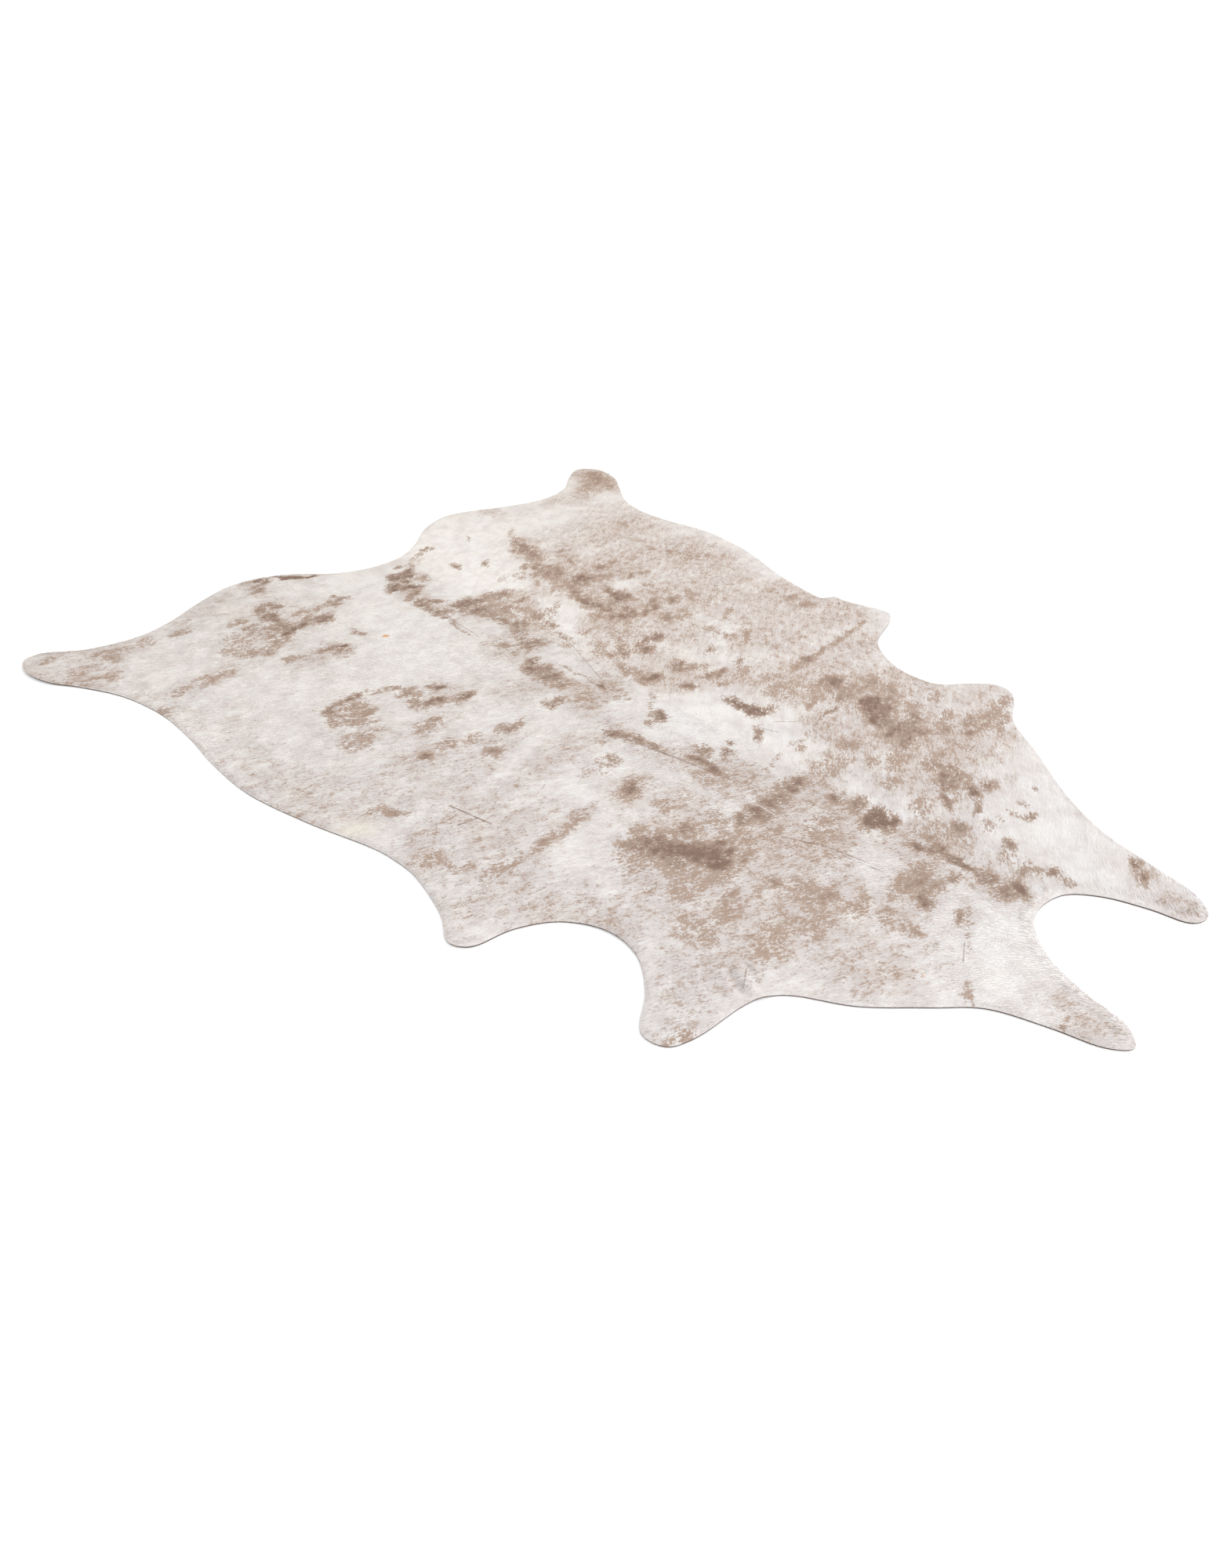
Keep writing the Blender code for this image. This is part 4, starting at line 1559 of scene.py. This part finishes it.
    # Painted shade down the cut wall, deepened to a painted shadow under the lifted left hind foot
    foot = on_the_line(tree, flat, FOOT_TIP, FOOT_HEEL, FOOT_SHADE_HALF_WIDTH)
    cut = math_node(tree, "MULTIPLY", stored_value(tree, "cut"), EDGE_SHADE_COVER)
    colour = mixed(tree, cut, colour, mixed(tree, foot, PAINTED_EDGE_SHADE, PAINTED_FOOT_SHADOW))

    warmth = vector_node(tree, "DOT_PRODUCT", _0=place, _1=WARMER_PER_METRE).outputs["Value"]
    warmth = math_node(tree, "ADD", warmth, WARMTH_AT_MIDDLE)
    warmth = math_node(tree, "MULTIPLY_ADD", tone, WARMTH_UNEVEN, warmth, clamp=True)
    toned = mixed(tree, warmth, NECK_TONE, RUMP_TONE)
    tint = math_node(tree, "MULTIPLY_ADD", lock, 2.0 * LOCK_TINT, 1.0 - LOCK_TINT)
    tinted = vector_node(tree, "SCALE", _0=colour, Scale=tint).outputs[0]
    tinted = vector_node(tree, "MULTIPLY", _0=tinted, _1=toned).outputs[0]
    tree.links.new(tinted, shader.inputs["Base Color"])
    bump = new_node(tree, "ShaderNodeBump", Strength=STRAND_BUMP, Distance=STRAND_HEIGHT, Height=strand)
    tree.links.new(bump.outputs["Normal"], shader.inputs["Normal"])
    return material


coat = coat_material()
pile_mesh.materials.append(coat)
bake_map(pile_mesh, 1)
bake_map(skin_mesh, -1)

# The top of the coat is locks of hair: thin flat wisps about 15 mm long that lie over each
# other like shingles, back along the spine and outward down the flanks and legs. They are
# laid in four parts, the four quarters of the hide, and are shorter towards the cut edge.
LOCK_LENGTH = 0.0145
LOCK_WIDTH = 0.0014
LOCK_LIFT = 0.0004
ROOT_LEVEL = -0.4
TIP_LEVEL = 0.5
WIDEST_AT = 0.38
LOCKS_PER_QUARTER = 95000
QUARTER_SPLIT = 0.27
LOCK_GAP = 0.0016
YAW = math.radians(14.0)
SHORTEST_SHARE = 0.6
LONGEST_SHARE = 1.25
TIP_PAST_EDGE = 0.0015
SPARE_TRIES = 1.6
LENGTH_SEED = 7
TINT_SEED = 9
FIRST_QUARTER_SEED = 20


def one_lock():
    """Return a single lock: a thin kite that rises from its root and droops to its tip."""
    mesh = bpy.data.meshes.new("one_lock")
    corners = [
        (0.0, 0.0, ROOT_LEVEL),
        (0.5, WIDEST_AT, 1.0),
        (-0.5, WIDEST_AT, 1.0),
        (0.0, 1.0, TIP_LEVEL),
    ]
    mesh.from_pydata(corners, [], [(0, 1, 2), (2, 1, 3)])
    mesh.shade_smooth()
    return bpy.data.objects.new("one_lock", mesh)


def read_pile(tree, kind, name):
    """Return the socket that reads one of the pile's stored values."""
    settings = {"data_type": kind}
    return new_node(tree, "GeometryNodeInputNamedAttribute", settings, Name=name).outputs["Attribute"]


def chance(tree, low, high, seed):
    """Return the socket of a number between two others, drawn for each lock."""
    settings = {"data_type": "FLOAT"}
    return new_node(tree, "FunctionNodeRandomValue", settings, _2=low, _3=high, Seed=seed).outputs[1]


def lock_tree():
    """Return the geometry nodes that lay locks of hair over one quarter of the coat."""
    tree = bpy.data.node_groups.new("locks of hair", "GeometryNodeTree")
    face = tree.interface
    face.new_socket(name="Geometry", in_out="INPUT", socket_type="NodeSocketGeometry")
    for name, kind in (
        ("Lock", "NodeSocketObject"),
        ("Quarter", "NodeSocketInt"),
        ("Locks per square metre", "NodeSocketFloat"),
        ("Closest", "NodeSocketFloat"),
        ("Length", "NodeSocketFloat"),
        ("Width", "NodeSocketFloat"),
        ("Lift", "NodeSocketFloat"),
        ("Stray turn", "NodeSocketFloat"),
        ("Seed", "NodeSocketInt"),
        ("Material", "NodeSocketMaterial"),
    ):
        face.new_socket(name=name, in_out="INPUT", socket_type=kind)
    face.new_socket(name="Geometry", in_out="OUTPUT", socket_type="NodeSocketGeometry")
    given = tree.nodes.new("NodeGroupInput").outputs

    here = new_node(
        tree,
        "FunctionNodeCompare",
        {"data_type": "INT", "operation": "EQUAL"},
        _2=read_pile(tree, "INT", "quarter"),
        _3=given["Quarter"],
    )
    spread = new_node(
        tree,
        "GeometryNodeDistributePointsOnFaces",
        {"distribute_method": "POISSON"},
        Mesh=given["Geometry"],
        Selection=here.outputs[0],
        Distance_Min=given["Closest"],
        Density_Max=given["Locks per square metre"],
        Seed=given["Seed"],
    )
    upright = new_node(
        tree, "FunctionNodeAlignRotationToVector", {"axis": "Z"}, Vector=spread.outputs["Normal"]
    )
    laid = new_node(
        tree,
        "FunctionNodeAlignRotationToVector",
        {"axis": "Y", "pivot_axis": "Z"},
        Rotation=upright.outputs[0],
        Vector=read_pile(tree, "FLOAT_VECTOR", "lay"),
    )
    turn_low = math_node(tree, "MULTIPLY", given["Stray turn"], -1.0)
    turn = chance(tree, turn_low, given["Stray turn"], given["Seed"])
    euler = new_node(tree, "ShaderNodeCombineXYZ", Z=turn)
    stray = new_node(tree, "FunctionNodeEulerToRotation", Euler=euler.outputs[0])
    turned = new_node(
        tree,
        "FunctionNodeRotateRotation",
        {"rotation_space": "LOCAL"},
        Rotation=laid.outputs[0],
        Rotate_By=stray.outputs[0],
    )
    reach = math_node(tree, "ADD", read_pile(tree, "FLOAT", "room"), TIP_PAST_EDGE)
    vary = chance(tree, SHORTEST_SHARE, LONGEST_SHARE, LENGTH_SEED)
    long = math_node(tree, "MULTIPLY", given["Length"], vary)
    kept = math_node(tree, "MINIMUM", long, reach)
    size = new_node(tree, "ShaderNodeCombineXYZ", X=given["Width"], Y=kept, Z=given["Lift"])
    tinted = new_node(
        tree,
        "GeometryNodeStoreNamedAttribute",
        {"data_type": "FLOAT", "domain": "POINT"},
        Geometry=spread.outputs["Points"],
        Name="lock",
        Value=chance(tree, 0.0, 1.0, TINT_SEED),
    )
    shape = new_node(tree, "GeometryNodeObjectInfo", Object=given["Lock"])
    placed = new_node(
        tree,
        "GeometryNodeInstanceOnPoints",
        Points=tinted.outputs[0],
        Instance=shape.outputs["Geometry"],
        Rotation=turned.outputs[0],
        Scale=size.outputs[0],
    )
    real = new_node(tree, "GeometryNodeRealizeInstances", Geometry=placed.outputs[0])
    finished = new_node(
        tree, "GeometryNodeSetMaterial", Geometry=real.outputs[0], Material=given["Material"]
    )
    made = tree.nodes.new("NodeGroupOutput")
    tree.links.new(finished.outputs[0], made.inputs["Geometry"])
    return tree


centres = np.zeros(len(pile_mesh.polygons) * 3)
pile_mesh.polygons.foreach_get("center", centres)
centres = centres.reshape(-1, 3)
quarter_of = (centres[:, 0] > 0.0).astype(int) + 2 * (centres[:, 1] > QUARTER_SPLIT)
quarter_of[top_faces:] = -1
areas = np.zeros(len(pile_mesh.polygons))
pile_mesh.polygons.foreach_get("area", areas)
quarters = pile_mesh.attributes.new("quarter", "INT", "FACE")
quarters.data.foreach_set("value", quarter_of.astype(np.int32))

lock_shape = one_lock()
hair_tree = lock_tree()
tree_inputs = [item for item in hair_tree.interface.items_tree if item.in_out == "INPUT"]
sockets = {item.name: item.identifier for item in tree_inputs}
PILE_ONLY = ("brown", "wash", "room", "lay", "quarter")


def laid_hair(name, quarter):
    """Return one quarter's locks of hair as a plain mesh."""
    area = areas[quarter_of == quarter].sum()
    source = bpy.data.objects.new(name + "_source", pile_mesh)
    bpy.context.scene.collection.objects.link(source)
    modifier = source.modifiers.new("locks", "NODES")
    modifier.node_group = hair_tree
    for socket, value in (
        ("Lock", lock_shape),
        ("Quarter", quarter),
        ("Locks per square metre", LOCKS_PER_QUARTER / area * SPARE_TRIES),
        ("Closest", LOCK_GAP),
        ("Length", LOCK_LENGTH),
        ("Width", LOCK_WIDTH),
        ("Lift", LOCK_LIFT),
        ("Stray turn", YAW),
        ("Seed", FIRST_QUARTER_SEED + quarter),
        ("Material", coat),
    ):
        modifier[sockets[socket]] = value
    graph = bpy.context.evaluated_depsgraph_get()
    mesh = bpy.data.meshes.new_from_object(source.evaluated_get(graph), depsgraph=graph)
    bpy.data.objects.remove(source)
    mesh.name = name
    for spare in [layer.name for layer in mesh.attributes if layer.name in PILE_ONLY]:
        mesh.attributes.remove(mesh.attributes[spare])
    store_markings(mesh)
    bake_map(mesh, 0)
    hair = bpy.data.objects.new(name, mesh)
    bpy.context.scene.collection.objects.link(hair)
    return hair


QUARTER_NAMES = ("hair_left_fore", "hair_right_fore", "hair_left_hind", "hair_right_hind")
coat_pieces = [pile]
for number, quarter_name in enumerate(QUARTER_NAMES):
    coat_pieces.append(laid_hair(quarter_name, number))

for piece in [skin, *coat_pieces]:
    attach(piece, "root")
    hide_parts("hide")
